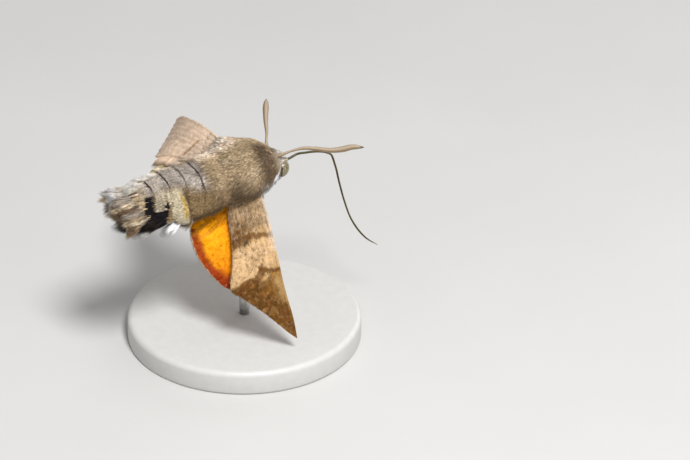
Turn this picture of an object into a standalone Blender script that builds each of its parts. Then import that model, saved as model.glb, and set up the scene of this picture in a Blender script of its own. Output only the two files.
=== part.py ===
# Hummingbird hawk moth in flight, life size, held by a plain display stand.
#
# Sizes are in millimetres and angles in degrees; each mesh is turned into metres as it is made.
# The moth is modelled in its own body frame: x forward, y to its left, z out of its back, with
# the origin inside the thorax. The empty moth_pose carries that frame, banked to the right.
# The stand is modelled upright, with the middle of its underside at the world's origin.

import math
import random

import bmesh
import bpy
import numpy as np
from mathutils import Matrix, Vector

MM = 0.001
GAP = 0.3
WALL = 0.5

# Pose of the body, and the height of its frame above the floor
BANK = 26.6
PITCH = 2.8
BODY_HEIGHT = 28.6

# Trunk stations: x, z of the middle, half width, height above and below the middle
TRUNK = (
    (-18.2, 0.55, 2.70, 1.30, 1.45),
    (-16.6, 0.45, 3.35, 1.90, 2.00),
    (-14.2, 0.30, 4.00, 2.55, 2.70),
    (-11.4, 0.15, 4.40, 3.05, 3.20),
    (-8.2, 0.05, 4.50, 3.45, 3.40),
    (-5.0, 0.00, 4.35, 3.75, 3.55),
    (-2.0, 0.05, 4.62, 4.35, 3.90),
    (1.0, 0.00, 4.55, 4.50, 4.05),
    (3.3, -0.35, 3.72, 3.90, 3.70),
    (4.7, -0.75, 2.75, 2.95, 3.00),
)
WAIST_X = -4.6
TRUNK_SIDES = 28

# Hind edges of the abdomen's segments: each steps in behind its edge, and sweeps back at the flanks
SEGMENT_EDGES = (-6.3, -8.05, -10.25, -12.7, -15.1, -17.3)
SEGMENT_STEP = 0.16
FLANK_SWEEP = 0.8

# Shoulder covers over the wing roots: centre and radii
TEGULA = (-1.7, 3.30, 1.70)
TEGULA_RADII = (2.65, 1.80, 1.60)

# Swollen pads on the flanks of the fourth ring: centre and radii
PAD = (-11.6, 2.75, -0.35)
PAD_RADII = (1.35, 2.0, 2.2)

# Head: how far its own axis drops below the trunk's, how far it is rolled back towards level and
# turned to its left, and its stations along that axis: half width, height above and below
HEAD_DROP = 28.0
HEAD_ROLL = 20.0
HEAD_YAW = 12.0
NECK = (4.75, 0.0, -0.55)
HEAD = (
    (0.00, 2.20, 2.25, 2.45),
    (0.70, 2.25, 2.10, 2.35),
    (1.40, 2.10, 1.80, 2.05),
    (1.95, 1.60, 1.35, 1.60),
    (2.30, 0.90, 0.80, 0.95),
)
HEAD_SIDES = 24
EYE_CENTRE = (1.05, 1.45, -0.45)
EYE_RADII = (1.05, 1.00, 1.30)

PALP_PATH = ((0.3, 0.80, -2.35), (1.3, 0.80, -2.40), (2.4, 0.74, -1.80), (3.05, 0.66, -0.75))
PALP_RADII = (0.40, 0.58, 0.55, 0.16)

# Feelers and tongue: paths in the body frame, from the root out
ANTENNAE = {
    "right": (
        (4.9, -0.72, 1.70),
        (5.5, -0.88, 2.02),
        (6.8, -1.17, 2.60),
        (8.4, -1.71, 3.19),
        (9.9, -2.64, 3.50),
        (11.6, -3.88, 3.82),
        (13.0, -4.57, 4.22),
        (14.4, -5.06, 4.69),
        (15.8, -5.94, 5.03),
    ),
    "left": (
        (5.05, 2.02, 0.10),
        (5.25, 2.40, 0.28),
        (5.55, 2.98, 0.30),
        (6.6, 4.53, -0.08),
        (7.7, 6.48, -0.66),
        (9.3, 9.0, -1.46),
        (10.8, 11.1, -2.38),
    ),
}
ANTENNA_RADII = (
    (0.0, 0.34), (0.06, 0.27), (0.35, 0.30), (0.62, 0.40), (0.85, 0.46), (0.96, 0.30), (1.0, 0.06),
)
TONGUE_RADII = ((0.0, 0.30), (0.25, 0.27), (0.85, 0.25), (1.0, 0.08))
TONGUE_PATH = (
    (6.80, 0.25, -1.90),
    (8.20, 0.0, -1.30),
    (9.14, 0.0, -0.94),
    (10.95, 0.0, -1.39),
    (13.16, 0.0, -2.28),
    (15.1, 0.0, -3.60),
    (15.76, -0.1, -4.20),
    (16.15, -1.1, -5.50),
    (16.48, -2.91, -8.02),
    (16.89, -4.68, -10.49),
    (17.55, -6.59, -12.91),
    (18.46, -8.04, -14.51),
    (19.32, -9.03, -15.46),
    (20.79, -10.15, -16.42),
)

# Wings. Outlines are (out along the span, forward along the chord), from the forewing's root
HINGE = (-0.55, 3.85, -1.95)
SPANS = {"right": (0.13, -0.79, -0.596), "left": (0.258, 0.768, -0.587)}
CHORDS = {"right": (0.899, -0.160, 0.408), "left": (0.890, 0.047, 0.453)}
FOREWING = {
    "root": ((-1.6, 1.9), (-1.6, 0.4), (-1.6, -1.2), (-1.6, -2.6)),
    "lead": ((-1.6, 1.9), (2.0, 1.55), (7.5, 0.70), (13.5, -0.38), (18.8, -1.05), (21.4, -1.60)),
    "trail": ((-1.6, -2.6), (1.2, -3.7), (4.6, -4.75), (7.8, -6.1), (10.0, -7.35)),
    "edge": (
        (21.4, -1.60), (20.4, -2.2), (18.2, -3.30), (15.3, -4.8),
        (12.6, -6.5), (10.9, -7.60), (10.0, -7.35),
    ),
    "veins": (0.03, 0.12, 0.21, 0.33, 0.45, 0.57, 0.70, 0.86),
    "cell": (0.56, 0.12, 0.57),
    "arch": {"right": 1.5, "left": 2.6},
}
HINDWING = {
    "root": ((-1.6, -1.4), (-1.5, -2.4), (-0.8, -3.3), (-0.45, -4.4)),
    "lead": ((-1.6, -1.4), (2.0, -1.2), (6.0, -1.9), (9.6, -3.3), (11.6, -5.1)),
    "trail": ((-0.45, -4.4), (0.25, -5.6), (0.3, -7.3), (0.3, -8.9)),
    "edge": (
        (11.6, -5.1), (12.0, -6.4), (10.7, -8.1), (8.3, -9.25),
        (5.5, -9.95), (2.7, -9.95), (1.0, -9.5), (0.3, -8.9),
    ),
    "veins": (0.05, 0.22, 0.38, 0.53, 0.68, 0.84),
    "cell": (0.50, 0.22, 0.53),
    "arch": {"right": 0.8, "left": 1.0},
}
HINDWING_DROP = 1.15
TWIST = {"right": 0.0, "left": 34.0}
VEIN_HEIGHT = 0.14
VEIN_FLANK = 0.018
RIM = 0.14

# Tail fan: rows of locks as height, count, length and lift, then the outermost locks of each flank
FAN_ROWS = ((0.75, 8, 4.7, 5.0), (-0.10, 9, 4.9, 0.0), (-0.95, 8, 4.4, -7.0))
FAN_SPREAD = 14.0
FAN_LEAN = 0.05
FAN_LOCK_WIDTH = 1.6
FAN_CORE_END = -20.0
FAN_FLANK = ((0.35, 3.3, 24.0), (-0.35, 3.6, 30.0), (-1.00, 3.3, 26.0))

# Side tufts: root along the body, length and how far they stand out; locks of each, as angles,
# which sit lower on the left flank, towards which the abdomen is rolled
TUFT_PLACES = ((-11.3, 3.7, 0.50), (-14.0, 3.8, 0.62))
TUFT_ANGLES = (-60.0, -48.0, -36.0, -24.0, -12.0, 0.0, 12.0, 24.0)
TUFT_DROP = {1: 10.0, -1: 0.0}

# Legs, tucked along the underside: paths of the left leg of each pair, and the radius at each point
LEGS = {
    "fore": (
        ((3.3, 1.2, -3.5), (4.7, 1.35, -4.45), (3.3, 1.70, -4.95), (1.9, 2.00, -5.10), (0.5, 2.15, -5.1)),
        (0.46, 0.42, 0.34, 0.27, 0.14),
    ),
    "mid": (
        ((0.7, 1.9, -3.2), (2.3, 2.95, -4.0), (0.6, 3.0, -4.35), (-1.2, 2.4, -4.75), (-3.0, 1.9, -4.95)),
        (0.46, 0.42, 0.34, 0.27, 0.14),
    ),
    "hind": (
        ((-2.8, 0.6, -3.6), (-4.2, 0.95, -4.5), (-7.2, 0.85, -4.6), (-10.4, 0.75, -4.4), (-13.3, 0.65, -4.0)),
        (0.50, 0.46, 0.36, 0.28, 0.14),
    ),
}
KNEE_SWELL = 1.06
LEG_SIDES = 7

# Stand
BASE_RADIUS = 17.0
BASE_HEIGHT = 3.6
BASE_BEVEL = 0.8
ROD_RADIUS = 0.75
ROD_SEAT_X = 0.9
ROD_SIDES = 20


def material(name, colour, roughness, metallic=0.0):
    made = bpy.data.materials.new(name)
    made.use_nodes = True
    shader = made.node_tree.nodes["Principled BSDF"]
    shader.inputs["Base Color"].default_value = (*colour, 1.0)
    shader.inputs["Roughness"].default_value = roughness
    shader.inputs["Metallic"].default_value = metallic
    return made


def smooth(places, rows, at):
    """Reads rows, given at rising places, on a smooth curve through them."""
    places = np.asarray(places, float)
    rows = np.asarray(rows, float)
    slopes = np.gradient(rows, places, axis=0)
    at = min(max(at, places[0]), places[-1])
    low = int(min(max(np.searchsorted(places, at) - 1, 0), len(places) - 2))
    width = places[low + 1] - places[low]
    u = (at - places[low]) / width
    return (
        (2 * u**3 - 3 * u**2 + 1) * rows[low]
        + (u**3 - 2 * u**2 + u) * width * slopes[low]
        + (3 * u**2 - 2 * u**3) * rows[low + 1]
        + (u**3 - u**2) * width * slopes[low + 1]
    )


def along(points, share):
    """The point at a share of the way along a smooth curve through points."""
    points = np.asarray(points, float)
    steps = np.linalg.norm(np.diff(points, axis=0), axis=1)
    places = np.concatenate([[0.0], np.cumsum(steps)])
    return smooth(places / places[-1], points, share)


def mesh_object(name, points, faces, finish=None):
    mesh = bpy.data.meshes.new(name)
    mesh.from_pydata([Vector(p) * MM for p in points], [], faces)
    mesh.validate()
    shape = bmesh.new()
    shape.from_mesh(mesh)
    bmesh.ops.recalc_face_normals(shape, faces=shape.faces)
    shape.to_mesh(mesh)
    shape.free()
    mesh.shade_smooth()
    mesh.set_sharp_from_angle(angle=math.radians(40))
    if finish:
        mesh.materials.append(finish)
    made = bpy.data.objects.new(name, mesh)
    bpy.context.scene.collection.objects.link(made)
    return made


def loft(name, rings, finish=None):
    """One closed skin through rings of points, with a fan of triangles over each end."""
    count = len(rings[0])
    points = [p for ring in rings for p in ring]
    faces = []
    for r in range(len(rings) - 1):
        for k in range(count):
            a = r * count + k
            b = r * count + (k + 1) % count
            faces.append((a, b, b + count, a + count))
    for ring, start in ((rings[0], 0), (rings[-1], (len(rings) - 1) * count)):
        points.append(np.mean([list(p) for p in ring], axis=0))
        for k in range(count):
            faces.append((start + k, start + (k + 1) % count, len(points) - 1))
    return mesh_object(name, points, faces, finish)


def tube(name, path, radii, sides, stations, finish=None):
    """A round limb along a smooth curve through path. radii are (share of the length, radius)."""
    shares = [r[0] for r in radii]
    sizes = [[r[1]] for r in radii]
    rings = []
    side = Vector((0, 1, 0))
    for s in stations:
        here = Vector(along(path, s))
        ahead = Vector(along(path, min(s + 0.01, 1.0))) - Vector(along(path, max(s - 0.01, 0.0)))
        ahead.normalize()
        side = (side - ahead * side.dot(ahead)).normalized()
        up = ahead.cross(side)
        radius = float(smooth(shares, sizes, s)[0])
        turns = [2 * math.pi * k / sides for k in range(sides)]
        rings.append([here + radius * (math.cos(a) * side + math.sin(a) * up) for a in turns])
    return loft(name, rings, finish)


def evaluated(thing):
    """Applies the modifiers of an object, and keeps only its largest closed surface."""
    graph = bpy.context.evaluated_depsgraph_get()
    graph.update()
    mesh = bpy.data.meshes.new_from_object(thing.evaluated_get(graph))
    thing.modifiers.clear()
    shape = bmesh.new()
    shape.from_mesh(mesh)
    shape.faces.ensure_lookup_table()
    seen = set()
    shells = []
    for face in shape.faces:
        if face.index in seen:
            continue
        shell = [face]
        seen.add(face.index)
        for member in shell:
            for edge in member.edges:
                for other in edge.link_faces:
                    if other.index not in seen:
                        seen.add(other.index)
                        shell.append(other)
        shells.append(shell)
    shells.sort(key=lambda faces: sum(f.calc_area() for f in faces), reverse=True)
    bmesh.ops.delete(shape, geom=[f for shell in shells[1:] for f in shell], context="FACES")
    bmesh.ops.triangulate(shape, faces=shape.faces)
    shape.to_mesh(mesh)
    shape.free()
    mesh.shade_smooth()
    mesh.set_sharp_from_angle(angle=math.radians(40))
    thing.data = mesh
    return thing


def fuse(base, pieces, solver="EXACT"):
    """Joins closed pieces to base with one Boolean union, then removes them."""
    group = bpy.data.collections.new(base.name + "_pieces")
    bpy.context.scene.collection.children.link(group)
    for piece in pieces:
        bpy.context.scene.collection.objects.unlink(piece)
        group.objects.link(piece)
    join = base.modifiers.new("join", "BOOLEAN")
    join.operation = "UNION"
    join.operand_type = "COLLECTION"
    join.collection = group
    join.solver = solver
    evaluated(base)
    for piece in pieces:
        bpy.data.objects.remove(piece)
    bpy.data.collections.remove(group)
    return base


def cut(base, cutters):
    """Cuts each cutter out of base, then removes the cutters."""
    for cutter in cutters:
        trim = base.modifiers.new("cut", "BOOLEAN")
        trim.operation = "DIFFERENCE"
        trim.object = cutter
        evaluated(base)
        bpy.data.objects.remove(cutter)
    return base


def trunk_ring(x, swell=0.0):
    """The trunk's outline at x, swollen by a clearance or a segment's step."""
    _, middle, half, above, below = smooth([row[0] for row in TRUNK], TRUNK, x)
    sweep = FLANK_SWEEP * min(max((WAIST_X - 1.0 - x) / 3.0, 0.0), 1.0)
    ring = []
    for k in range(TRUNK_SIDES):
        turn = 2 * math.pi * k / TRUNK_SIDES
        height = above if math.sin(turn) > 0 else below
        back = sweep * math.cos(turn) ** 2
        ring.append((x - back, (half + swell) * math.cos(turn), middle + (height + swell) * math.sin(turn)))
    return ring


def trunk(name, stations, swell=0.0, finish=None):
    """Part of the trunk through (x, extra radius) stations."""
    return loft(name, [trunk_ring(x, swell + extra) for x, extra in stations], finish)


def thorax_stations():
    front = TRUNK[-1][0]
    back = WAIST_X + GAP / 2
    return [(back + (front - back) * k / 10, 0.0) for k in range(11)]


def abdomen_stations():
    """Each segment widens to its hind edge, then steps in behind it."""
    start = WAIST_X - GAP / 2
    stations = []
    for edge in SEGMENT_EDGES:
        stations += [(start, -SEGMENT_STEP / 2), ((start + edge) / 2, 0.05), (edge, SEGMENT_STEP)]
        start = edge - 0.14
    return stations


def to_head(point):
    """A point given along the head's own axis, in the body frame."""
    turn = Matrix.Rotation(math.radians(HEAD_YAW), 4, "Z")
    turn = turn @ Matrix.Rotation(math.radians(HEAD_DROP), 4, "Y")
    turn = turn @ Matrix.Rotation(math.radians(-HEAD_ROLL), 4, "X")
    return Vector(NECK) + turn @ Vector(point)


def head(name, swell=0.0, finish=None):
    rings = []
    depths = [row[0] for row in HEAD]
    stations = [-1.5, -0.7, *[depths[-1] * k / 8 for k in range(9)]]
    if swell:
        stations = [*stations, depths[-1] + swell]
    for depth in stations:
        _, half, above, below = smooth(depths, HEAD, depth)
        ahead = depth + GAP + swell * max(depth / depths[-1], 0.0)
        ring = []
        for k in range(HEAD_SIDES):
            turn = 2 * math.pi * k / HEAD_SIDES
            height = above if math.sin(turn) > 0 else below
            across, up = (half + swell) * math.cos(turn), (height + swell) * math.sin(turn)
            ring.append(to_head((ahead, across, up)))
        rings.append(ring)
    return loft(name, rings, finish)


def eye(name, side, swell=0.0, finish=None):
    """A compound eye, or with a swell the socket that it sits in."""
    shape = bmesh.new()
    bmesh.ops.create_uvsphere(shape, u_segments=16, v_segments=10, radius=1.0)
    centre = Vector((EYE_CENTRE[0] + GAP, side * EYE_CENTRE[1], EYE_CENTRE[2]))
    points = []
    for vertex in shape.verts:
        scaled = [c * (r + swell) for c, r in zip(vertex.co, EYE_RADII)]
        points.append(to_head(centre + Vector(scaled)))
    faces = [tuple(v.index for v in face.verts) for face in shape.faces]
    shape.free()
    return mesh_object(name, points, faces, finish)


def patch(wing, out, across):
    """A point of a wing's outline: out from root to margin, across from leading to trailing edge."""
    lead = along(wing["lead"], out)
    trail = along(wing["trail"], out)
    root = along(wing["root"], across)
    edge = along(wing["edge"], across)
    corners = (
        (1 - out) * ((1 - across) * np.array(wing["root"][0]) + across * np.array(wing["root"][-1]))
        + out * ((1 - across) * np.array(wing["edge"][0]) + across * np.array(wing["edge"][-1]))
    )
    return (1 - across) * lead + across * trail + (1 - out) * root + out * edge - corners


def wing_rows(veins):
    """Shares across a wing where the mesh has a line, and whether that line is a vein's crest."""
    rows = [(0.0, False), (1.0, False)]
    for vein in veins:
        rows += [(vein - VEIN_FLANK, False), (vein, True), (vein + VEIN_FLANK, False)]
    gaps = sorted(veins)
    rows += [((a + b) / 2, False) for a, b in zip(gaps, gaps[1:]) if b - a > 0.1]
    return sorted(row for row in rows if 0.0 <= row[0] <= 1.0)


def wing(name, shape, side, drop, finish, columns=14):
    """A thin wing: two alike faces over one grid, veins raised on both, thinner at the rim."""
    span = Vector(SPANS[side]).normalized()
    chord = Vector(CHORDS[side])
    chord = (chord - span * chord.dot(span)).normalized()
    upper = span.cross(chord) if side == "right" else chord.cross(span)
    hinge = Vector(HINGE)
    if side == "right":
        hinge.y = -hinge.y
    hinge -= upper * drop
    rows = wing_rows(shape["veins"])
    length = max(p[0] for p in shape["edge"])
    outs = [k / (columns - 1) for k in range(columns)]
    cell_out, cell_front, cell_back = shape["cell"]
    cell_column = min(range(columns), key=lambda k: abs(outs[k] - cell_out))
    tops, bottoms = [], []
    for i, out in enumerate(outs):
        for j, (across, crest) in enumerate(rows):
            s, c = (float(value) for value in patch(shape, out, across))
            arch = shape["arch"][side] * (1 - (2 * max(s, 0.0) / length - 1) ** 2)
            behind = float(patch(shape, out, 0.0)[1]) - c
            fall = behind * math.tan(math.radians(TWIST[side])) * (s / FOREWING["edge"][0][0]) ** 2
            middle = hinge + s * span + c * chord + (arch - fall) * upper
            on_rim = i == columns - 1 or j in (0, len(rows) - 1)
            half = RIM if on_rim else WALL / 2
            on_cell = i == cell_column and cell_front <= across <= cell_back
            if not on_rim and (crest or on_cell):
                half += VEIN_HEIGHT * (1.0 - 0.5 * out)
            tops.append(middle + half * upper)
            bottoms.append(middle - half * upper)
    count = len(rows)
    below = len(tops)
    faces = []
    for i in range(columns - 1):
        for j in range(count - 1):
            a, b, c, d = (i * count + j, i * count + j + 1, (i + 1) * count + j + 1, (i + 1) * count + j)
            faces += [(a, b, c), (a, c, d)]
            faces += [(a + below, c + below, b + below), (a + below, d + below, c + below)]
    rim = [(i * count, (i + 1) * count) for i in range(columns - 1)]
    rim += [(i * count + count - 1, (i + 1) * count + count - 1) for i in range(columns - 1)]
    rim += [(j, j + 1) for j in range(count - 1)]
    rim += [((columns - 1) * count + j, (columns - 1) * count + j + 1) for j in range(count - 1)]
    for a, b in rim:
        faces += [(a, b, b + below), (a, b + below, a + below)]
    return mesh_object(name, tops + bottoms, faces, finish)


def lock(name, root, heading, face, length, width, droop):
    """A flat, tapered lock of hair scales: lens-shaped rings that curve away from its face."""
    heading = Vector(heading).normalized()
    face = Vector(face)
    face = (face - heading * face.dot(heading)).normalized()
    side = heading.cross(face)
    rings = []
    for share, wide, thick in ((0.0, 0.70, 0.30), (0.4, 1.0, 0.30), (0.75, 0.84, 0.26), (1.0, 0.30, 0.10)):
        bend = droop * length * share**2
        middle = Vector(root) + heading * length * share - face * bend
        across = side * width / 2 * wide
        rings.append([middle + across, middle + face * thick, middle - across, middle - face * thick])
    return loft(name, rings)


def tail_fan(finish):
    """The spread brush at the end of the abdomen, in three tiers of overlapping locks."""
    draw = random.Random(11)
    start = SEGMENT_EDGES[-1] - 1.4 * GAP
    _, middle, half, above, below = smooth([row[0] for row in TRUNK], TRUNK, start - 0.45)
    core = []
    for depth, share in ((0.0, 1.0), (0.5, 0.93), (1.6, 0.75), (start - FAN_CORE_END, 0.45)):
        ring = []
        for k in range(TRUNK_SIDES):
            turn = 2 * math.pi * k / TRUNK_SIDES
            back = depth + FLANK_SWEEP * share * math.cos(turn) ** 2
            height = above if math.sin(turn) > 0 else below
            across, up = half * share * math.cos(turn), height * share * math.sin(turn)
            ring.append((start - back, across, middle + up))
        core.append(ring)
    fan = loft("tail_fan", core, finish)
    pieces = []
    for height, count, length, lift in FAN_ROWS:
        for k in range(count):
            place = 2 * k / (count - 1) - 1
            angle = math.radians(FAN_SPREAD * place)
            back, up = 0.75 + 0.5 * place**2, height * (1 - 0.35 * place**2)
            root = (start - back, half * 0.82 * place, middle + up)
            heading = (-math.cos(angle), math.sin(angle), math.sin(math.radians(lift)))
            reach = length * (1 - 0.22 * abs(place) ** 3 + FAN_LEAN * place) * draw.uniform(0.9, 1.06)
            width = FAN_LOCK_WIDTH * draw.uniform(0.92, 1.15)
            pieces.append(lock("lock", root, heading, (0, 0, 1), reach, width, draw.uniform(-0.02, 0.05)))
    for side in (1, -1):
        for height, length, spread in FAN_FLANK:
            angle = math.radians(spread)
            root = (start - 1.45, side * (half * 0.9 - 0.35), middle + height)
            heading = (-math.cos(angle), side * math.sin(angle), 0.15 * height)
            reach = length * draw.uniform(0.92, 1.08)
            pieces.append(lock("lock", root, heading, (0, side * 0.5, 1), reach, FAN_LOCK_WIDTH, 0.04))
    return fuse(fan, pieces)


def abdomen(finish):
    """Six overlapping rings, with the pads and the tufts that stand out along both flanks."""
    draw = random.Random(5)
    body = trunk("abdomen", abdomen_stations(), finish=finish)
    pieces = []
    for side in (1, -1):
        pieces.append(ball("pad", (PAD[0], side * PAD[1], PAD[2]), PAD_RADII))
        for x, reach, stand_out in TUFT_PLACES:
            _, middle, half, above, below = smooth([row[0] for row in TRUNK], TRUNK, x)
            for angle in TUFT_ANGLES:
                tilt = math.radians(angle - TUFT_DROP[side])
                height = above if tilt > 0 else below
                out = Vector((0, side * math.cos(tilt), math.sin(tilt)))
                root = (x, side * (half - 0.45) * math.cos(tilt), middle + (height - 0.45) * math.sin(tilt))
                heading = Vector((-1.0, 0, 0)) + out * stand_out
                length = reach * draw.uniform(0.88, 1.06) * (1.0 - 0.14 * abs(angle + 18) / 40)
                pieces.append(lock("tuft", root, heading, out, length, draw.uniform(1.45, 1.75), 0.05))
    return fuse(body, pieces)


def ball(name, centre, radii, around=16, along_axis=10):
    """A squashed ball, as a closed mesh."""
    shape = bmesh.new()
    bmesh.ops.create_uvsphere(shape, u_segments=around, v_segments=along_axis, radius=1.0)
    points = [Vector(centre) + Vector([c * r for c, r in zip(v.co, radii)]) for v in shape.verts]
    faces = [tuple(v.index for v in face.verts) for face in shape.faces]
    shape.free()
    return mesh_object(name, points, faces)


def antenna(name, side, finish):
    """A feeler, thickening to a club near its end, with a fine hooked tip."""
    stations = [0.0, 0.04, 0.1, 0.2, 0.3, 0.4, 0.5, 0.6, 0.7, 0.78, 0.86, 0.92, 0.97, 1.0]
    return tube(name, ANTENNAE[side], ANTENNA_RADII, 10, stations, finish)


def thorax(finish):
    """The middle of the body, with the shoulder covers over the wing roots fused to it."""
    body = trunk("thorax", thorax_stations(), finish=finish)
    pieces = []
    for side in (1, -1):
        pieces.append(ball("tegula", (TEGULA[0], side * TEGULA[1], TEGULA[2]), TEGULA_RADII))
    return fuse(body, pieces)


def leg(name, pair, side, finish):
    """A thigh and a folded shank that tapers to the foot, fused at a ball of a knee."""
    path, radii = LEGS[pair]
    sign = 1 if side == "left" else -1
    path = [(x, sign * y, z) for x, y, z in path]
    thigh = tube(name, path[:2], [(0, radii[0]), (1, radii[1])], LEG_SIDES, [0.0, 1.0], finish)
    sizes = [(k / (len(radii) - 2), r) for k, r in enumerate(radii[1:])]
    shank = tube("shank", path[1:], sizes, LEG_SIDES, [k / 6 for k in range(7)])
    knee = ball("knee", path[1], [KNEE_SWELL * radii[1]] * 3, 8, 4)
    return fuse(thigh, [shank, knee])


def stand_base(finish):
    """A turned disc with a rounded upper edge."""
    profile = [(BASE_RADIUS - 0.4, 0.0), (BASE_RADIUS, 0.4)]
    for k in range(5):
        turn = math.pi / 2 * k / 4
        inwards, down = BASE_BEVEL * (1 - math.cos(turn)), BASE_BEVEL * (1 - math.sin(turn))
        profile.append((BASE_RADIUS - inwards, BASE_HEIGHT - down))
    sides = 56
    rings = []
    for radius, height in profile:
        turns = [2 * math.pi * k / sides for k in range(sides)]
        rings.append([(radius * math.cos(a), radius * math.sin(a), height) for a in turns])
    return loft("stand_base", rings, finish)


def stand_rod(finish, top):
    turns = [2 * math.pi * k / ROD_SIDES for k in range(ROD_SIDES)]
    rings = []
    for height in (BASE_HEIGHT + GAP, top):
        rings.append([(ROD_RADIUS * math.cos(a), ROD_RADIUS * math.sin(a), height) for a in turns])
    return loft("stand_rod", rings, finish)


def near_thorax(name="clearance"):
    """The thorax swollen by the clearance, for cutting what grows from it."""
    stations = thorax_stations()
    back, front = stations[0][0], stations[-1][0]
    return trunk(name, [(back - GAP, 0.0), *stations, (front + GAP, 0.0)], swell=GAP)


def near_abdomen(name="clearance"):
    stations = abdomen_stations()
    return trunk(name, [(stations[0][0] + GAP, 0.0), *stations, (stations[-1][0] - GAP, 0.0)], swell=GAP)


def main():
    for thing in list(bpy.data.objects):
        bpy.data.objects.remove(thing)

    fur = material("fur_brown_grey", (0.43, 0.34, 0.24), 0.9)
    banded = material("abdomen_grey", (0.40, 0.34, 0.27), 0.85)
    brush = material("tail_brush", (0.42, 0.33, 0.24), 0.9)
    fore = material("forewing_brown", (0.52, 0.36, 0.21), 0.8)
    hind = material("hindwing_orange", (0.85, 0.38, 0.02), 0.75)
    horn = material("antenna_grey_brown", (0.32, 0.25, 0.19), 0.6)
    dark = material("eye_dark", (0.03, 0.02, 0.015), 0.2)
    pale = material("palp_white", (0.72, 0.70, 0.68), 0.9)
    tongue = material("proboscis_dark", (0.06, 0.045, 0.02), 0.4)
    limb = material("leg_pale", (0.60, 0.56, 0.50), 0.8)
    paint = material("stand_paint", (0.72, 0.71, 0.68), 0.45)
    steel = material("stand_steel", (0.62, 0.62, 0.62), 0.3, 1.0)

    pose = bpy.data.objects.new("moth_pose", None)
    bpy.context.scene.collection.objects.link(pose)
    turn = Matrix.Rotation(math.radians(-PITCH), 4, "Y") @ Matrix.Rotation(math.radians(BANK), 4, "X")
    _, middle, _, _, below = smooth([row[0] for row in TRUNK], TRUNK, ROD_SEAT_X)
    seat = turn @ Vector((ROD_SEAT_X, 0, middle - below))
    centre = Vector((-seat.x, -seat.y, BODY_HEIGHT))
    pose.matrix_world = Matrix.Translation(centre * MM) @ turn

    moth = []
    moth.append(thorax(fur))
    moth.append(abdomen(banded))
    moth.append(tail_fan(brush))
    skull = cut(head("head", finish=fur), [near_thorax(), eye("socket", 1, GAP), eye("socket", -1, GAP)])
    moth.append(skull)
    for side, sign in (("left", 1), ("right", -1)):
        moth.append(cut(eye("eye_" + side, sign, finish=dark), [near_thorax()]))
        palp_path = [to_head((x, sign * y, z)) for x, y, z in PALP_PATH]
        palp_sizes = [(k / 3, r) for k, r in enumerate(PALP_RADII)]
        palp = tube("palp_" + side, palp_path, palp_sizes, 12, [k / 9 for k in range(10)], pale)
        moth.append(cut(palp, [head("clearance", GAP), near_thorax()]))
        feeler = antenna("antenna_" + side, side, horn)
        moth.append(cut(feeler, [head("clearance", GAP), near_thorax()]))
        front = wing("forewing_" + side, FOREWING, side, 0.0, fore)
        moth.append(cut(front, [near_thorax()]))
        back = wing("hindwing_" + side, HINDWING, side, HINDWING_DROP, hind, columns=11)
        moth.append(cut(back, [near_thorax(), near_abdomen()]))
        for pair in LEGS:
            limb_piece = leg(f"leg_{pair}_{side}", pair, side, limb)
            moth.append(cut(limb_piece, [near_thorax(), near_abdomen()]))
    stations = [k / 34 for k in range(35)]
    coil = tube("proboscis", TONGUE_PATH, TONGUE_RADII, 8, stations, tongue)
    moth.append(cut(coil, [head("clearance", GAP)]))
    for piece in moth:
        piece.parent = pose

    stand_base(paint)
    rod = stand_rod(steel, BODY_HEIGHT)
    seat_cutter = near_thorax("seat_cutter")
    seat_cutter.data.transform(pose.matrix_world)
    cut(rod, [seat_cutter])


main()
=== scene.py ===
# Looks of the life-size hummingbird hawk moth: skin, coat, scaled wings, eyes, feelers and stand.
#
# Sizes are in millimetres. The moth's pieces are worked out in its own body frame, x forward, y to
# its left and z out of its back, and turned into the world's metres as each mesh is made.

import math

import bpy
import numpy as np
from mathutils import Matrix, Vector, kdtree


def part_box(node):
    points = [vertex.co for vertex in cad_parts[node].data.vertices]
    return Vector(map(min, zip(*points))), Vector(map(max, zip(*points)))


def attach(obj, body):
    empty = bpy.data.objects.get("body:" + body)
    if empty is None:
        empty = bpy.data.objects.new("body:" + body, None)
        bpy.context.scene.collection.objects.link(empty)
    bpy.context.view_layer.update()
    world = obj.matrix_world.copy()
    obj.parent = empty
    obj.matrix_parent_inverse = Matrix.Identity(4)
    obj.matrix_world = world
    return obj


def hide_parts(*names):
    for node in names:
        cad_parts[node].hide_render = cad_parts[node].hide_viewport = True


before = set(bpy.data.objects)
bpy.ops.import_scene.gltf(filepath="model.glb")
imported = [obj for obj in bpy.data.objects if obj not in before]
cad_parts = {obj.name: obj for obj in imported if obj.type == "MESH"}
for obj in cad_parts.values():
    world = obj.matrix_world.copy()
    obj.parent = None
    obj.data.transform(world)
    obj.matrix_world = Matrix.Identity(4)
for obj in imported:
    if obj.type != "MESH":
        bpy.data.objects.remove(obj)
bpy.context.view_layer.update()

MM = 0.001
GAP = 0.3

# Pose of the body, as in the solids
BANK = 26.6
PITCH = 2.8
BODY_HEIGHT = 28.6
ROD_SEAT_X = 0.9

# Camera: it looks from behind and above the moth's right side
CAMERA_AZIMUTH = -32.2
CAMERA_ELEVATION = 30.0
CAMERA_DISTANCE = 800.0
PIXELS_PER_MM = 7.0
IMAGE_WIDTH = 690
SENSOR = 36.0
BODY_LEFT_OF_AIM = 14.57
BODY_ABOVE_AIM = 8.57

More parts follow.
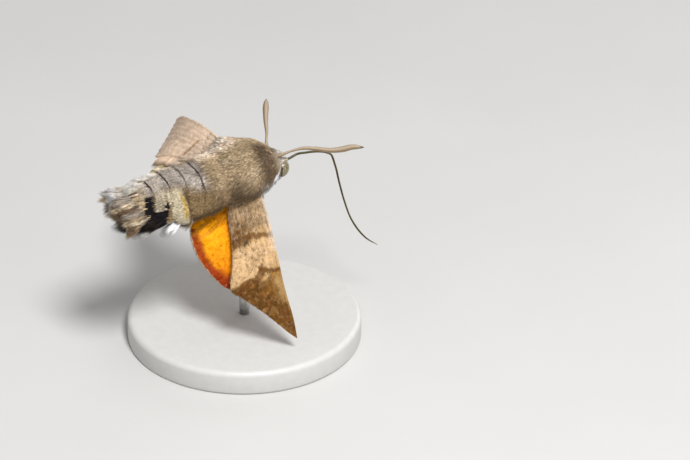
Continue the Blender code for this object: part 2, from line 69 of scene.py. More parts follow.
# Trunk stations: x, z of the middle, half width, height above and below the middle
TRUNK = (
    (-20.4, 0.60, 1.10, 0.45, 0.50),
    (-19.4, 0.58, 2.00, 0.90, 1.00),
    (-18.2, 0.55, 2.70, 1.30, 1.45),
    (-16.6, 0.45, 3.35, 1.90, 2.00),
    (-14.2, 0.30, 4.00, 2.55, 2.70),
    (-11.4, 0.15, 4.40, 3.05, 3.20),
    (-8.2, 0.05, 4.50, 3.45, 3.40),
    (-5.0, 0.00, 4.35, 3.75, 3.55),
    (-2.0, 0.05, 4.62, 4.35, 3.90),
    (1.0, 0.00, 4.55, 4.50, 4.05),
    (3.3, -0.35, 3.72, 3.90, 3.70),
    (4.7, -0.75, 2.75, 2.95, 3.00),
)
WAIST_X = -4.6
THORAX_FRONT = 4.7
FLANK_SWEEP = 0.8
SEGMENT_EDGES = (-6.3, -8.05, -10.35, -12.83, -15.36, -17.5)
SEGMENT_RISE = 0.15
EDGE_SLANT = 0.5
ABDOMEN_ROLL = 26.0
PAD_X = -12.15
PAD_HALF = 1.4
PAD_SLANT = 0.018
PAD_HEIGHT = 0.50
TEGULA_X = -1.7
TEGULA_TURN = 29.0
TEGULA_HEIGHT = 0.95

# Head, along its own axis: half width, height above and below, then its place on the thorax
HEAD = (
    (0.00, 2.20, 2.25, 2.45),
    (0.70, 2.25, 2.10, 2.35),
    (1.40, 2.10, 1.80, 2.05),
    (1.95, 1.60, 1.35, 1.60),
    (2.30, 0.90, 0.80, 0.95),
    (2.42, 0.45, 0.40, 0.45),
)
HEAD_DROP = 28.0
HEAD_ROLL = 20.0
HEAD_YAW = 12.0
NECK = (4.75, 0.0, -0.55)
EYE_CENTRE = (0.95, 1.56, -0.45)
EYE_RADII = (1.05, 1.00, 1.30)
ORBIT_DEPTH = 0.62
PALP_PATH = ((0.3, 0.80, -2.35), (1.3, 0.80, -2.40), (2.4, 0.74, -1.80), (3.05, 0.66, -0.75))
PALP_RADII = ((0.0, 0.34), (0.33, 0.46), (0.67, 0.42), (0.92, 0.20), (1.0, 0.06))

# Depth of the coat over the skin
ABDOMEN_COAT = 0.14
THORAX_COAT = 0.34
HEAD_COAT = 0.30

ANTENNAE = {
    "right": (
        (4.9, -0.72, 1.70),
        (5.5, -0.88, 2.02),
        (6.8, -1.17, 2.60),
        (8.4, -1.71, 3.19),
        (9.9, -2.64, 3.50),
        (11.6, -3.88, 3.82),
        (13.0, -4.57, 4.22),
        (14.4, -5.06, 4.69),
        (15.8, -5.94, 5.03),
    ),
    "left": (
        (5.05, 2.02, 0.10),
        (5.25, 2.40, 0.28),
        (5.55, 2.98, 0.30),
        (6.6, 4.53, -0.08),
        (7.7, 6.48, -0.66),
        (9.3, 9.0, -1.46),
        (10.8, 11.1, -2.38),
    ),
}
ANTENNA_RADII = (
    (0.0, 0.19), (0.04, 0.29), (0.09, 0.22), (0.35, 0.27), (0.62, 0.38), (0.84, 0.43), (0.94, 0.28), (1.0, 0.04),
)
ANTENNA_JOINTS = 64
TONGUE_PATH = (
    (6.80, 0.25, -1.90),
    (8.20, 0.0, -1.30),
    (9.14, 0.0, -0.94),
    (10.95, 0.0, -1.39),
    (13.16, 0.0, -2.28),
    (15.1, 0.0, -3.60),
    (15.76, -0.1, -4.20),
    (16.15, -1.1, -5.50),
    (16.48, -2.91, -8.02),
    (16.89, -4.68, -10.49),
    (17.55, -6.59, -12.91),
    (18.46, -8.04, -14.51),
    (19.32, -9.03, -15.46),
    (20.79, -10.15, -16.42),
)
TONGUE_RADII = ((0.0, 0.19), (0.3, 0.17), (0.7, 0.14), (0.95, 0.10), (1.0, 0.04))

# Wings, as in the solids: outlines are (out along the span, forward along the chord)
HINGE = (-0.55, 3.85, -1.95)
SPANS = {"right": (0.13, -0.79, -0.596), "left": (0.258, 0.768, -0.587)}
CHORDS = {"right": (0.899, -0.160, 0.408), "left": (0.890, 0.047, 0.453)}
FOREWING = {
    "root": ((-1.6, 1.9), (-1.6, 0.4), (-1.6, -1.2), (-1.6, -2.6)),
    "lead": ((-1.6, 1.9), (2.0, 1.55), (7.5, 0.70), (13.5, -0.38), (18.8, -1.05), (21.4, -1.60)),
    "trail": ((-1.6, -2.6), (1.2, -3.7), (4.6, -4.75), (7.8, -6.1), (10.0, -7.35)),
    "edge": ((21.4, -1.60), (20.4, -2.2), (18.2, -3.30), (15.3, -4.8), (12.6, -6.5), (10.9, -7.60), (10.0, -7.35)),
    "veins": (0.03, 0.12, 0.21, 0.33, 0.45, 0.57, 0.70, 0.86),
    "cell": (0.56, 0.12, 0.57),
    "arch": {"right": 1.5, "left": 2.6},
    "length": 21.4,
    "drop": 0.0,
}
HINDWING = {
    "root": ((-1.6, -1.4), (-1.5, -2.4), (-0.8, -3.3), (-0.45, -4.4)),
    "lead": ((-1.6, -1.4), (2.0, -1.2), (6.0, -1.9), (9.6, -3.3), (11.6, -5.1)),
    "trail": ((-0.45, -4.4), (0.25, -5.6), (0.3, -7.3), (0.3, -8.9)),
    "edge": (
        (11.6, -5.1), (12.0, -6.4), (10.7, -8.1), (8.3, -9.25),
        (5.5, -9.95), (2.7, -9.95), (1.0, -9.5), (0.3, -8.9),
    ),
    "veins": (0.05, 0.22, 0.38, 0.53, 0.68, 0.84),
    "cell": (0.50, 0.22, 0.53),
    "arch": {"right": 0.8, "left": 1.0},
    "length": 12.1,
    "drop": 1.15,
}
TWIST = {"right": 0.0, "left": 34.0}
WING_HALF = 0.075
VEIN_HEIGHT = 0.07

LEGS = {
    "fore": (((3.3, 1.2, -3.5), (4.7, 1.35, -4.45), (3.3, 1.70, -4.95), (1.9, 2.00, -5.10), (0.5, 2.15, -5.1)),
             (0.34, 0.30, 0.22, 0.17, 0.08)),
    "mid": (((0.7, 1.9, -3.2), (2.3, 2.95, -4.0), (0.6, 3.0, -4.35), (-1.2, 2.4, -4.75), (-3.0, 1.9, -4.95)),
            (0.34, 0.30, 0.22, 0.17, 0.08)),
    "hind": (((-2.8, 0.6, -3.6), (-4.2, 0.95, -4.5), (-7.2, 0.85, -4.6), (-10.4, 0.75, -4.4), (-13.3, 0.65, -4.0)),
             (0.38, 0.34, 0.24, 0.17, 0.08)),
}

BASE_RADIUS = 17.0
BASE_HEIGHT = 3.6
BASE_BEVEL = 0.8
ROD_RADIUS = 0.75

# Colours, linear
TAN = (0.44, 0.325, 0.195)
STRAW = (0.62, 0.50, 0.345)
UMBER = (0.17, 0.105, 0.055)
ASH = (0.39, 0.325, 0.260)
SILVER = (0.50, 0.445, 0.385)
CREAM = (0.68, 0.590, 0.420)
GOLD = (0.47, 0.295, 0.040)
WHITE = (0.78, 0.770, 0.780)
BRIGHT = (0.92, 0.915, 0.92)
BLACK = (0.012, 0.010, 0.012)
SOOT = (0.030, 0.022, 0.016)
IVORY = (0.72, 0.70, 0.61)
HAIR = (0.20, 0.125, 0.055)
PINKISH = (0.68, 0.560, 0.455)


def step(low, high, value):
    """0 below low, 1 above high, and a smooth rise between; the two may be the other way round."""
    share = np.clip((value - low) / (high - low), 0.0, 1.0)
    return share * share * (3 - 2 * share)


def band(value, low, high, soft):
    return step(low - soft, low + soft, value) * step(high + soft, high - soft, value)


def paint(base, colour, mask):
    mask = np.clip(mask, 0.0, 1.0)[..., None]
    return base * (1 - mask) + np.asarray(colour) * mask


def noise(places, size, seed):
    """Smooth noise from -1 to 1 over points, with features of about the given size."""
    side = 32
    lattice = np.random.default_rng(seed).uniform(-1, 1, (side, side, side))
    scaled = np.asarray(places, float) / size
    low = np.floor(scaled).astype(int)
    part = scaled - low
    part = part * part * (3 - 2 * part)
    total = 0.0
    for corner in range(8):
        pick = np.array([corner & 1, corner >> 1 & 1, corner >> 2 & 1])
        index = (low + pick) % side
        weight = np.prod(np.where(pick == 1, part, 1 - part), axis=-1)
        total = total + weight * lattice[index[..., 0], index[..., 1], index[..., 2]]
    return total


def unit(vectors):
    return vectors / np.maximum(np.linalg.norm(vectors, axis=-1, keepdims=True), 1e-9)


def curve(places, rows, at):
    """Reads rows, given at rising places, on a smooth curve through them."""
    places = np.asarray(places, float)
    rows = np.asarray(rows, float)
    slopes = np.gradient(rows, places, axis=0)
    at = np.clip(at, places[0], places[-1])
    low = np.clip(np.searchsorted(places, at) - 1, 0, len(places) - 2)
    width = (places[low + 1] - places[low])[..., None]
    u = (at - places[low])[..., None] / width
    return (
        (2 * u**3 - 3 * u**2 + 1) * rows[low]
        + (u**3 - 2 * u**2 + u) * width * slopes[low]
        + (3 * u**2 - 2 * u**3) * rows[low + 1]
        + (u**3 - u**2) * width * slopes[low + 1]
    )


def along(points, share):
    """Points at shares of the way along a smooth curve."""
    points = np.asarray(points, float)
    steps = np.linalg.norm(np.diff(points, axis=0), axis=1)
    places = np.concatenate([[0.0], np.cumsum(steps)])
    return curve(places / places[-1], points, np.asarray(share, float))


def trunk_section(x):
    rows = curve([row[0] for row in TRUNK], [row[1:] for row in TRUNK], x)
    return np.moveaxis(rows, -1, 0)


def body_pose():
    """The body frame in the world, in millimetres."""
    turn = Matrix.Rotation(math.radians(-PITCH), 4, "Y") @ Matrix.Rotation(math.radians(BANK), 4, "X")
    middle, _, _, below = trunk_section(np.array(ROD_SEAT_X))
    seat = turn @ Vector((ROD_SEAT_X, 0, float(middle - below)))
    return Matrix.Translation((-seat.x, -seat.y, BODY_HEIGHT)) @ turn


POSE = np.array(body_pose())


def to_world(points):
    return points @ POSE[:3, :3].T + POSE[:3, 3]


def signed_volume(points, faces):
    a, b, c = points[faces[:, 0]], points[faces[:, 1]], points[faces[:, 2]]
    return float(np.einsum("ij,ij->i", a, np.cross(b, c)).sum())


def piece(name, points, faces, finish, tint=None, patch=None, posed=True, nodes=()):
    """A mesh object from arrays: points in millimetres and triangles, outward whichever way they run."""
    points = np.asarray(points, float)
    faces = np.asarray(faces, np.int32)
    centred = points - points.mean(axis=0)
    if signed_volume(centred, faces) < 0:
        faces = faces[:, ::-1]
    world = to_world(points) if posed else points
    mesh = bpy.data.meshes.new(name)
    mesh.vertices.add(len(world))
    mesh.vertices.foreach_set("co", (world * MM).astype(np.float32).ravel())
    mesh.loops.add(faces.size)
    mesh.loops.foreach_set("vertex_index", np.ascontiguousarray(faces).ravel())
    mesh.polygons.add(len(faces))
    mesh.polygons.foreach_set("loop_start", np.arange(0, faces.size, 3, dtype=np.int32))
    mesh.update(calc_edges=True)
    if tint is not None:
        colours = np.concatenate([tint, np.ones((len(tint), 1))], axis=1)
        layer = mesh.attributes.new("tint", "FLOAT_COLOR", "POINT")
        layer.data.foreach_set("color", colours.astype(np.float32).ravel())
    if patch is not None:
        layer = mesh.uv_layers.new(name="OFBake")
        layer.data.foreach_set("uv", patch[faces.ravel()].astype(np.float32).ravel())
    mesh.shade_smooth()
    mesh.materials.append(finish)
    made = bpy.data.objects.new(name, mesh)
    bpy.context.scene.collection.objects.link(made)
    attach(made, "root")
    if nodes:
        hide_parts(*nodes)
    return made


def sheet_faces(rows, columns, wrap=False, start=0):
    """Triangles of a grid of points, row by row; wrap joins the last column to the first."""
    i, j = np.meshgrid(np.arange(rows - 1), np.arange(columns if wrap else columns - 1), indexing="ij")
    ahead = (j + 1) % columns
    a = (i * columns + j).ravel() + start
    b = (i * columns + ahead).ravel() + start
    c = ((i + 1) * columns + ahead).ravel() + start
    d = ((i + 1) * columns + j).ravel() + start
    return np.concatenate([np.stack([a, b, c], 1), np.stack([a, c, d], 1)])


def loft(rings):
    """Points and triangles of a closed skin through rings, an array of (ring, point, xyz)."""
    count, around, _ = rings.shape
    points = rings.reshape(-1, 3)
    ends = np.stack([rings[0].mean(axis=0), rings[-1].mean(axis=0)])
    faces = [sheet_faces(count, around, wrap=True)]
    k = np.arange(around)
    after = (k + 1) % around
    faces.append(np.stack([k, np.full(around, len(points)), after], 1))
    last = (count - 1) * around
    faces.append(np.stack([k + last, after + last, np.full(around, len(points) + 1)], 1))
    return np.concatenate([points, ends]), np.concatenate(faces)


def tube_rings(path, shares, radii, sides, squash=1.0):
    """Rings round a smooth path; radii holds one radius for each share."""
    centre = along(path, shares)
    ahead = unit(np.gradient(centre, axis=0))
    side = np.array([0.0, 1.0, 0.0])
    turns = np.arange(sides) * 2 * math.pi / sides
    rings = []
    for here, forward, radius in zip(centre, ahead, radii):
        side = side - forward * side.dot(forward)
        side = side / np.linalg.norm(side)
        up = np.cross(forward, side)
        rings.append(here + radius * (np.cos(turns)[:, None] * side + squash * np.sin(turns)[:, None] * up))
    return np.array(rings)


# Materials


def new_material(name):
    made = bpy.data.materials.new(name)
    made.use_nodes = True
    tree = made.node_tree
    return made, tree, tree.nodes["Principled BSDF"]


def place_node(tree):
    return tree.nodes.new("ShaderNodeTexCoord").outputs["Object"]


def noise_node(tree, per_mm, detail=3.0, rough=0.55, stretch=None):
    """A noise texture over the object's own coordinates, with that many features a millimetre."""
    made = tree.nodes.new("ShaderNodeTexNoise")
    made.inputs["Scale"].default_value = per_mm / MM
    made.inputs["Detail"].default_value = detail
    made.inputs["Roughness"].default_value = rough
    source = place_node(tree)
    if stretch:
        mapping = tree.nodes.new("ShaderNodeMapping")
        mapping.inputs["Scale"].default_value = stretch
        tree.links.new(source, mapping.inputs["Vector"])
        source = mapping.outputs["Vector"]
    tree.links.new(source, made.inputs["Vector"])
    return made.outputs["Fac"]


def range_node(tree, source, low, high, start=0.25, end=0.75):
    made = tree.nodes.new("ShaderNodeMapRange")
    made.inputs["From Min"].default_value = start
    made.inputs["From Max"].default_value = end
    made.inputs["To Min"].default_value = low
    made.inputs["To Max"].default_value = high
    tree.links.new(source, made.inputs["Value"])
    return made.outputs["Result"]


def mix_node(tree, blend, factor, one, two):
    made = tree.nodes.new("ShaderNodeMix")
    made.data_type = "RGBA"
    made.blend_type = blend
    for value, socket in ((factor, "Factor"), (one, "A"), (two, "B")):
        target = next(s for s in made.inputs if s.name == socket and s.enabled)
        if isinstance(value, (float, int)):
            target.default_value = value
        elif isinstance(value, tuple):
            target.default_value = (*value, 1.0)
        else:
            tree.links.new(value, target)
    return next(s for s in made.outputs if s.name == "Result" and s.enabled)


def bump_node(tree, shader, height, depth):
    made = tree.nodes.new("ShaderNodeBump")
    made.inputs["Distance"].default_value = depth * MM
    tree.links.new(height, made.inputs["Height"])
    tree.links.new(made.outputs["Normal"], shader.inputs["Normal"])


def tint_node(tree):
    made = tree.nodes.new("ShaderNodeAttribute")
    made.attribute_name = "tint"
    return made.outputs["Color"]


def tinted_material(name, roughness, sheen, bump, per_mm=5.0, low=0.78, high=1.2, specular=0.35):
    """Colour from the tint, which holds markings and painted shade, varied by noise, with fine relief."""
    made, tree, shader = new_material(name)
    fine = noise_node(tree, per_mm)
    shade = range_node(tree, fine, low, high)
    colour = mix_node(tree, "MULTIPLY", 1.0, tint_node(tree), shade)
    tree.links.new(colour, shader.inputs["Base Color"])
    rough = range_node(tree, noise_node(tree, per_mm * 0.4), roughness - 0.08, roughness + 0.08)
    tree.links.new(rough, shader.inputs["Roughness"])
    shader.inputs["Specular IOR Level"].default_value = specular
    shader.inputs["Sheen Weight"].default_value = sheen
    shader.inputs["Sheen Roughness"].default_value = 0.4
    if bump:
        bump_node(tree, shader, fine, bump)
    return made


def scaled_material(name, roughness, sheen, depth, cells):
    """A wing's face: colour from the tint, which holds markings with some painted shade and glare, broken up by tiny
    overlapping scales.
    """
    made, tree, shader = new_material(name)
    scales = tree.nodes.new("ShaderNodeTexVoronoi")
    scales.inputs["Scale"].default_value = cells / MM
    scales.inputs["Randomness"].default_value = 0.9
    tree.links.new(place_node(tree), scales.inputs["Vector"])
    each = tree.nodes.new("ShaderNodeSeparateColor")
    tree.links.new(scales.outputs["Color"], each.inputs["Color"])
    shade = range_node(tree, each.outputs["Red"], 0.80, 1.18, 0.0, 1.0)
    colour = mix_node(tree, "MULTIPLY", 1.0, tint_node(tree), shade)
    blotch = range_node(tree, noise_node(tree, 1.6, 4.0), 0.86, 1.12)
    colour = mix_node(tree, "MULTIPLY", 1.0, colour, blotch)
    tree.links.new(colour, shader.inputs["Base Color"])
    rough = range_node(tree, each.outputs["Green"], roughness - 0.1, roughness + 0.1, 0.0, 1.0)
    tree.links.new(rough, shader.inputs["Roughness"])
    shader.inputs["Specular IOR Level"].default_value = 0.12
    shader.inputs["Sheen Weight"].default_value = sheen
    bump_node(tree, shader, scales.outputs["Distance"], depth)
    return made


def eye_material():
    """Dark, glossy facets over the tint of the eye."""
    made, tree, shader = new_material("compound_eye")
    facets = tree.nodes.new("ShaderNodeTexVoronoi")
    facets.inputs["Scale"].default_value = 13.0 / MM
    facets.inputs["Randomness"].default_value = 0.25
    tree.links.new(place_node(tree), facets.inputs["Vector"])
    shade = range_node(tree, facets.outputs["Distance"], 1.15, 0.55, 0.0, 0.7)
    colour = mix_node(tree, "MULTIPLY", 1.0, tint_node(tree), shade)
    tree.links.new(colour, shader.inputs["Base Color"])
    rough = range_node(tree, noise_node(tree, 3.0), 0.22, 0.38)
    tree.links.new(rough, shader.inputs["Roughness"])
    shader.inputs["Coat Weight"].default_value = 0.5
    shader.inputs["Coat Roughness"].default_value = 0.15
    bump_node(tree, shader, facets.outputs["Distance"], -0.012)
    return made


def plain_material(name, colour, other, roughness, per_mm, bump, metallic=0.0, stretch=None):
    """Two tones over noise, with relief, for made surfaces."""
    made, tree, shader = new_material(name)
    fine = noise_node(tree, per_mm, 5.0, stretch=stretch)
    mixed = mix_node(tree, "MIX", range_node(tree, fine, 0.0, 1.0), colour, other)
    tree.links.new(mixed, shader.inputs["Base Color"])
    rough = range_node(tree, noise_node(tree, per_mm * 0.3, stretch=stretch), roughness - 0.07, roughness + 0.07)
    tree.links.new(rough, shader.inputs["Roughness"])
    shader.inputs["Metallic"].default_value = metallic
    bump_node(tree, shader, fine, bump)
    return made


# Tufts


def surface_frame(surface, u, v):
    """Point, tangents along u and v, and outward normal, by small steps over the surface."""
    e = 0.004
    here = surface(u, v)
    along_u = unit(surface(u + e, v) - surface(u - e, v))
    along_v = unit(surface(u, v + e) - surface(u, v - e))
    normal = unit(np.cross(along_u, along_v))
    return here, along_u, along_v, normal


def scatter(draw, surface, count, u_range, v_range, keep=None):
    """Places spread evenly over a surface's area, thinned where keep is less than 1."""
    tries = count * 4
    u = draw.uniform(*u_range, tries)
    v = draw.uniform(*v_range, tries)
    e = 0.004
    area = np.linalg.norm(
        np.cross(surface(u + e, v) - surface(u - e, v), surface(u, v + e) - surface(u, v - e)), axis=1
    )
    chance = area / np.percentile(area, 98)
    if keep is not None:
        chance = chance * keep(u, v)
    chosen = np.flatnonzero(draw.uniform(0, 1, tries) < chance)[:count]
    return u[chosen], v[chosen]


def clumped(draw, roots, headings, lengths, spacing, pull):
    """Bends tufts so that the tips of neighbours meet, as damp or combed hair does."""
    count = max(int(len(roots) * spacing), 1)
    centres = draw.choice(len(roots), count, replace=False)
    tree = kdtree.KDTree(count)
    for k, index in enumerate(centres):
        tree.insert(roots[index], k)
    tree.balance()
    nearest = np.array([tree.find(p)[1] for p in roots])
    owner = centres[nearest]
    tips = roots + headings * lengths[:, None]
    target = roots[owner] + headings[owner] * lengths[:, None]
    pull = np.broadcast_to(pull, len(roots))[:, None]
    return unit(tips * (1 - pull) + target * pull - roots), nearest


def tufts(name, root, heading, normal, length, width, tint, tip, place, finish,
          rise=0.15, droop=0.15, curl=0.0, rings=2, flat=0.3, dark=0.5, nodes=(), posed=True):
    """Closed, flattened, tapered tufts as one mesh, with painted shade darkening each towards its root. place is each
    root's (u, v) on the skin's unwrap.
    """
    count = len(root)
    side = unit(np.cross(heading, normal))
    up = unit(np.cross(side, heading))
    length = np.broadcast_to(length, count)[:, None]
    width = np.broadcast_to(width, count)[:, None]
    rise = np.broadcast_to(rise, count)[:, None]
    droop = np.broadcast_to(droop, count)[:, None]
    curl = np.broadcast_to(curl, count)[:, None]
    shares = {2: (0.0, 0.5), 3: (0.0, 0.36, 0.72), 4: (0.0, 0.27, 0.54, 0.8)}[rings]
    widths = {2: (0.8, 0.9), 3: (0.75, 1.0, 0.7), 4: (0.7, 1.0, 0.95, 0.6)}[rings]
    points = []
    tints = []
    patches = []
    patch = 0.003

    def middle(share):
        bend = rise * share - droop * share**2
        return root + heading * length * share + up * length * bend + side * length * curl * share**2

    for share, wide in zip(shares, widths):
        centre = middle(share)
        half = side * width * wide / 2
        points += [centre - half, centre + half, centre + up * width * flat * wide]
        # Painted shade: each tuft darker towards its root
        shade = dark + (1 - dark) * min(share * 2.2, 1.0)
        colour = (tint * (1 - share) + tip * share) * shade
        tints += [colour, colour, colour]
        for across in (-0.5, 0.5, 0.0):
            patches.append(place + np.array([across * patch, (share - 0.5) * patch]))
    points.append(middle(1.0))
    tints.append(tip)
    patches.append(place + np.array([0.0, 0.5 * patch]))
    each = 3 * rings + 1
    faces = [(0, 2, 1)]
    for ring in range(rings - 1):
        base = 3 * ring
        for a, b in ((0, 1), (1, 2), (2, 0)):
            faces += [(base + a, base + b, base + b + 3), (base + a, base + b + 3, base + a + 3)]
    last = 3 * (rings - 1)
    faces += [(last, last + 1, each - 1), (last + 1, last + 2, each - 1), (last + 2, last, each - 1)]
    faces = np.array(faces)[None] + (np.arange(count) * each)[:, None, None]
    points = np.stack(points, axis=1).reshape(-1, 3)
    tints = np.clip(np.stack(tints, axis=1), 0.0, 1.0).reshape(-1, 3)
    patches = np.stack(patches, axis=1).reshape(-1, 2)
    return piece(name, points, faces.reshape(-1, 3), finish, tints, patches, posed, nodes)


def unwrap(u, v, u_range, v_range):
    """Places on a surface as a margin-kept square."""
    across = (u - u_range[0]) / (u_range[1] - u_range[0])
    length = (v - v_range[0]) / (v_range[1] - v_range[0])
    return np.stack([across, length], axis=1) * 0.98 + 0.01


# Trunk


def turn_degrees(turn):
    """A turn about the trunk, from the right flank at 0 over the back at 90, as -90 to 270."""
    return (np.degrees(turn) + 90) % 360 - 90


def roll_at(x):
    """How far the abdomen is rolled to its left, in degrees."""
    return ABDOMEN_ROLL * step(-7.0, -13.0, x)


def height_angle(x, turn):
    """Degrees above the flank: 90 along the middle of the back and -90 along the belly."""
    away = (turn_degrees(turn) - 90 - roll_at(x) + 180) % 360 - 180
    return 90 - np.abs(away)


def segment_place(x, turn):
    """Station measured along the segments, whose edges slant and bend forward on the left."""
    bend = 0.35 * np.clip((turn_degrees(turn) - 115) / 45, 0.0, 1.4) ** 2
    return x + EDGE_SLANT * np.cos(turn) * step(-8.0, -11.0, x) - bend


def segment_share(place):
    """Share of the way along its segment, and the distance behind the edge in front."""
    bounds = np.array([WAIST_X, *SEGMENT_EDGES, SEGMENT_EDGES[-1] - 2.6])
    low = np.clip(np.searchsorted(-bounds, -place) - 1, 0, len(bounds) - 2)
    behind = bounds[low] - place
    return np.clip(behind / (bounds[low] - bounds[low + 1]), 0, 1), behind, place - bounds[low + 1]


def segment_lift(x, turn):
    """Each segment swells to its hind edge, and drops in behind it."""
    place = segment_place(x, turn)
    share, behind, _ = segment_share(place)
    rise = share**1.6 * SEGMENT_RISE
    fall = SEGMENT_RISE * step(0.16, 0.0, behind)
    inside = step(WAIST_X - 1.6, WAIST_X - 1.8, x) * step(-18.4, -17.5, x) * step(-10, 35, height_angle(x, turn))
    return (np.maximum(rise, fall) - 0.08) * inside + pad_lift(x, turn)


def pad_place(x, turn):
    """Station measured across the pads, which slant forward towards the belly."""
    return segment_place(x, turn) - PAD_SLANT * (40 - height_angle(x, turn))


def pad_lift(x, turn):
    """The swollen pads on the flanks of the fourth ring."""
    across = np.clip(1 - ((pad_place(x, turn) - PAD_X) / PAD_HALF) ** 2, 0.0, 1.0)
    return PAD_HEIGHT * np.sqrt(across) * band(height_angle(x, turn), -52.0, 40.0, 18.0)


def cushion(x, turn):
    """The pale patch that covers each pad."""
    return band(pad_place(x, turn), -13.5, -10.75, 0.12) * band(height_angle(x, turn), -46.0, 54.0, 7.0)


def tegula_lift(x, turn):
    angle = turn_degrees(turn)
    left = np.abs(angle - (180 - TEGULA_TURN))
    right = np.abs(angle - TEGULA_TURN)
    near = np.minimum(left, right) / 20.0
    return TEGULA_HEIGHT * np.exp(-((x - TEGULA_X) / 2.0) ** 2 - near**2)


def trunk_surface(x, turn, lift=0.0):
    middle, half, above, below = trunk_section(x)
    sweep = FLANK_SWEEP * np.clip((WAIST_X - 1.0 - x) / 3.0, 0.0, 1.0)
    height = np.where(np.sin(turn) > 0, above, below)
    swell = lift + segment_lift(x, turn) + tegula_lift(x, turn)
    y = -(half + swell) * np.cos(turn)
    z = middle + (height + swell) * np.sin(turn)
    return np.stack([x - sweep * np.cos(turn) ** 2, y, z], axis=-1)


def coat_depth(x):
    """How far the skin lies under the outline of the coat."""
    return THORAX_COAT + (ABDOMEN_COAT - THORAX_COAT) * step(WAIST_X + 0.6, WAIST_X - 1.5, x)


def trunk_skin(x, turn):
    return trunk_surface(x, turn, -coat_depth(x))


def trunk_tint(x, turn):
    """The markings of the trunk, with painted shade on the flanks and in front of the pads, for skin and coat alike."""
    spot = np.stack([x, -4.2 * np.cos(turn), 3.6 * np.sin(turn)], axis=-1)
    blotch = noise(spot, 1.3, 3)
    fine = noise(spot, 0.45, 4)
    angle = turn_degrees(turn)
    high = height_angle(x, turn) + 4 * fine
    place = segment_place(x, turn) + 0.06 * fine
    pad = pad_place(x, turn) + 0.06 * fine
    colour = np.ones(x.shape + (3,)) * np.array(TAN)
    colour = paint(colour, STRAW, 0.45 * step(-0.1, 0.7, blotch))
    # Painted shade: a dark brown band along the flanks, by the wings' roots
    colour = paint(colour, (0.15, 0.09, 0.042), 0.78 * step(64, 16, high) * step(-44, -12, high))
    colour = paint(colour, (0.13, 0.085, 0.05), 0.95 * band(x, 1.3, 4.4, 0.8) * band(angle, 14, 106, 14) * step(-1.1, -0.2, fine))
    colour = paint(colour, SILVER, 0.55 * band(x, 0.9, 3.4, 0.6) * band(angle, -6, 24, 8))
    colour = paint(colour, UMBER, 0.22 * band(x, -6.2, -3.6, 0.8) * step(120, 100, angle))
    pink = band(x, -6.6, 0.0, 1.4) * step(106, 138, angle + 7 * fine) * step(206, 176, angle)
    colour = paint(colour, (0.94, 0.76, 0.62), 0.85 * pink)
    rear = step(-6.0, -7.6, x + 0.5 * blotch)
    grey = np.ones(x.shape + (3,)) * np.array((0.38, 0.325, 0.275))
    grey = paint(grey, (0.52, 0.465, 0.41), 0.7 * step(-0.3, 0.6, blotch) * step(30, 70, high))
    # Painted shade: the abdomen darker and browner low on its flanks, as under light from above
    grey = paint(grey, (0.25, 0.16, 0.068), 0.9 * step(70, 38, high))
    grey = paint(grey, UMBER, 0.15 * step(30, -6, high) * band(place, -10.4, -7.0, 0.6))
    grey = paint(grey, PINKISH, 0.6 * band(angle, 136, 205, 8))
    grey = grey * (1 + 0.16 * step(-11.5, -14.0, x))[..., None]
    colour = colour * (1 - rear[..., None]) + grey * rear[..., None]
    colour = paint(colour, (0.16, 0.13, 0.125), 0.55 * band(x, -7.9, -6.9, 0.25) * band(angle, 84, 128, 8))
    colour = paint(colour, TAN, 0.5 * step(-15.4, -16.6, x))
    colour = paint(colour, CREAM, 0.95 * cushion(x, turn))
    colour = paint(colour, GOLD, 0.8 * band(pad, -11.7, -11.0, 0.18) * band(high, -10, 40, 8))
    # Painted shadow: a brown band along the front edge of each pad
    colour = paint(colour, (0.14, 0.085, 0.034), 0.9 * band(pad, -11.0, -10.42, 0.12) * band(high, -50, 50, 8))
    colour = paint(colour, BLACK, band(place, -14.2, -13.25, 0.10) * band(high, -60, 33, 5) * step(-13.3, -13.6, pad))
    colour = paint(colour, (0.50, 0.425, 0.32), 0.85 * band(place, -15.3, -13.45, 0.12) * band(high, 34, 60, 4))
    colour = paint(colour, BLACK, band(place, -16.7, -15.5, 0.15) * band(high, -60, 60, 5))
    colour = paint(colour, BLACK, band(place, -16.8, -13.3, 0.15) * band(high, -60, 30, 6) * step(-13.3, -13.6, pad))
    for edge, reach, strength in zip(SEGMENT_EDGES[1:], (54, 72, 62, 68, 62), (0.95, 0.65, 1.0, 1.0, 0.8)):
        line = band(place, edge - 0.17, edge + 0.07, 0.04)
        colour = paint(colour, (0.022, 0.018, 0.032), strength * line * step(reach - 6, reach + 5, high))
        colour = paint(colour, UMBER, 0.30 * line * step(0, 20, high))
    under = step(-22, -34, high - 30 * step(0.3, 2.2, x) - 20 * step(2.4, 4.0, x))
    belly = paint(np.ones(x.shape + (3,)) * np.array(WHITE), ASH, step(-2.0, -9.0, x) * 0.8)
    colour = colour * (1 - under[..., None]) + belly * under[..., None]
    return np.clip(colour * (1 + 0.10 * blotch[..., None] + 0.06 * fine[..., None]), 0.004, 1.0)


# Head


def head_turn():
    turn = Matrix.Rotation(math.radians(HEAD_YAW), 3, "Z")
    turn = turn @ Matrix.Rotation(math.radians(HEAD_DROP), 3, "Y")
    return np.array(turn @ Matrix.Rotation(math.radians(-HEAD_ROLL), 3, "X"))


HEAD_TURN = head_turn()


def to_head(points):
    """Points given along the head's own axis, in the body frame."""
    return np.asarray(points, float) @ HEAD_TURN.T + np.array(NECK)


def head_surface(depth, turn, lift=0.0):
    rows = curve([row[0] for row in HEAD], [row[1:] for row in HEAD], depth)
    half, above, below = np.moveaxis(rows, -1, 0)
    height = np.where(np.sin(turn) > 0, above, below)
    y = -(half + lift) * np.cos(turn)
    z = (height + lift) * np.sin(turn)
    return to_head(np.stack([depth + GAP + lift * step(1.4, 2.4, depth), y, z], axis=-1))


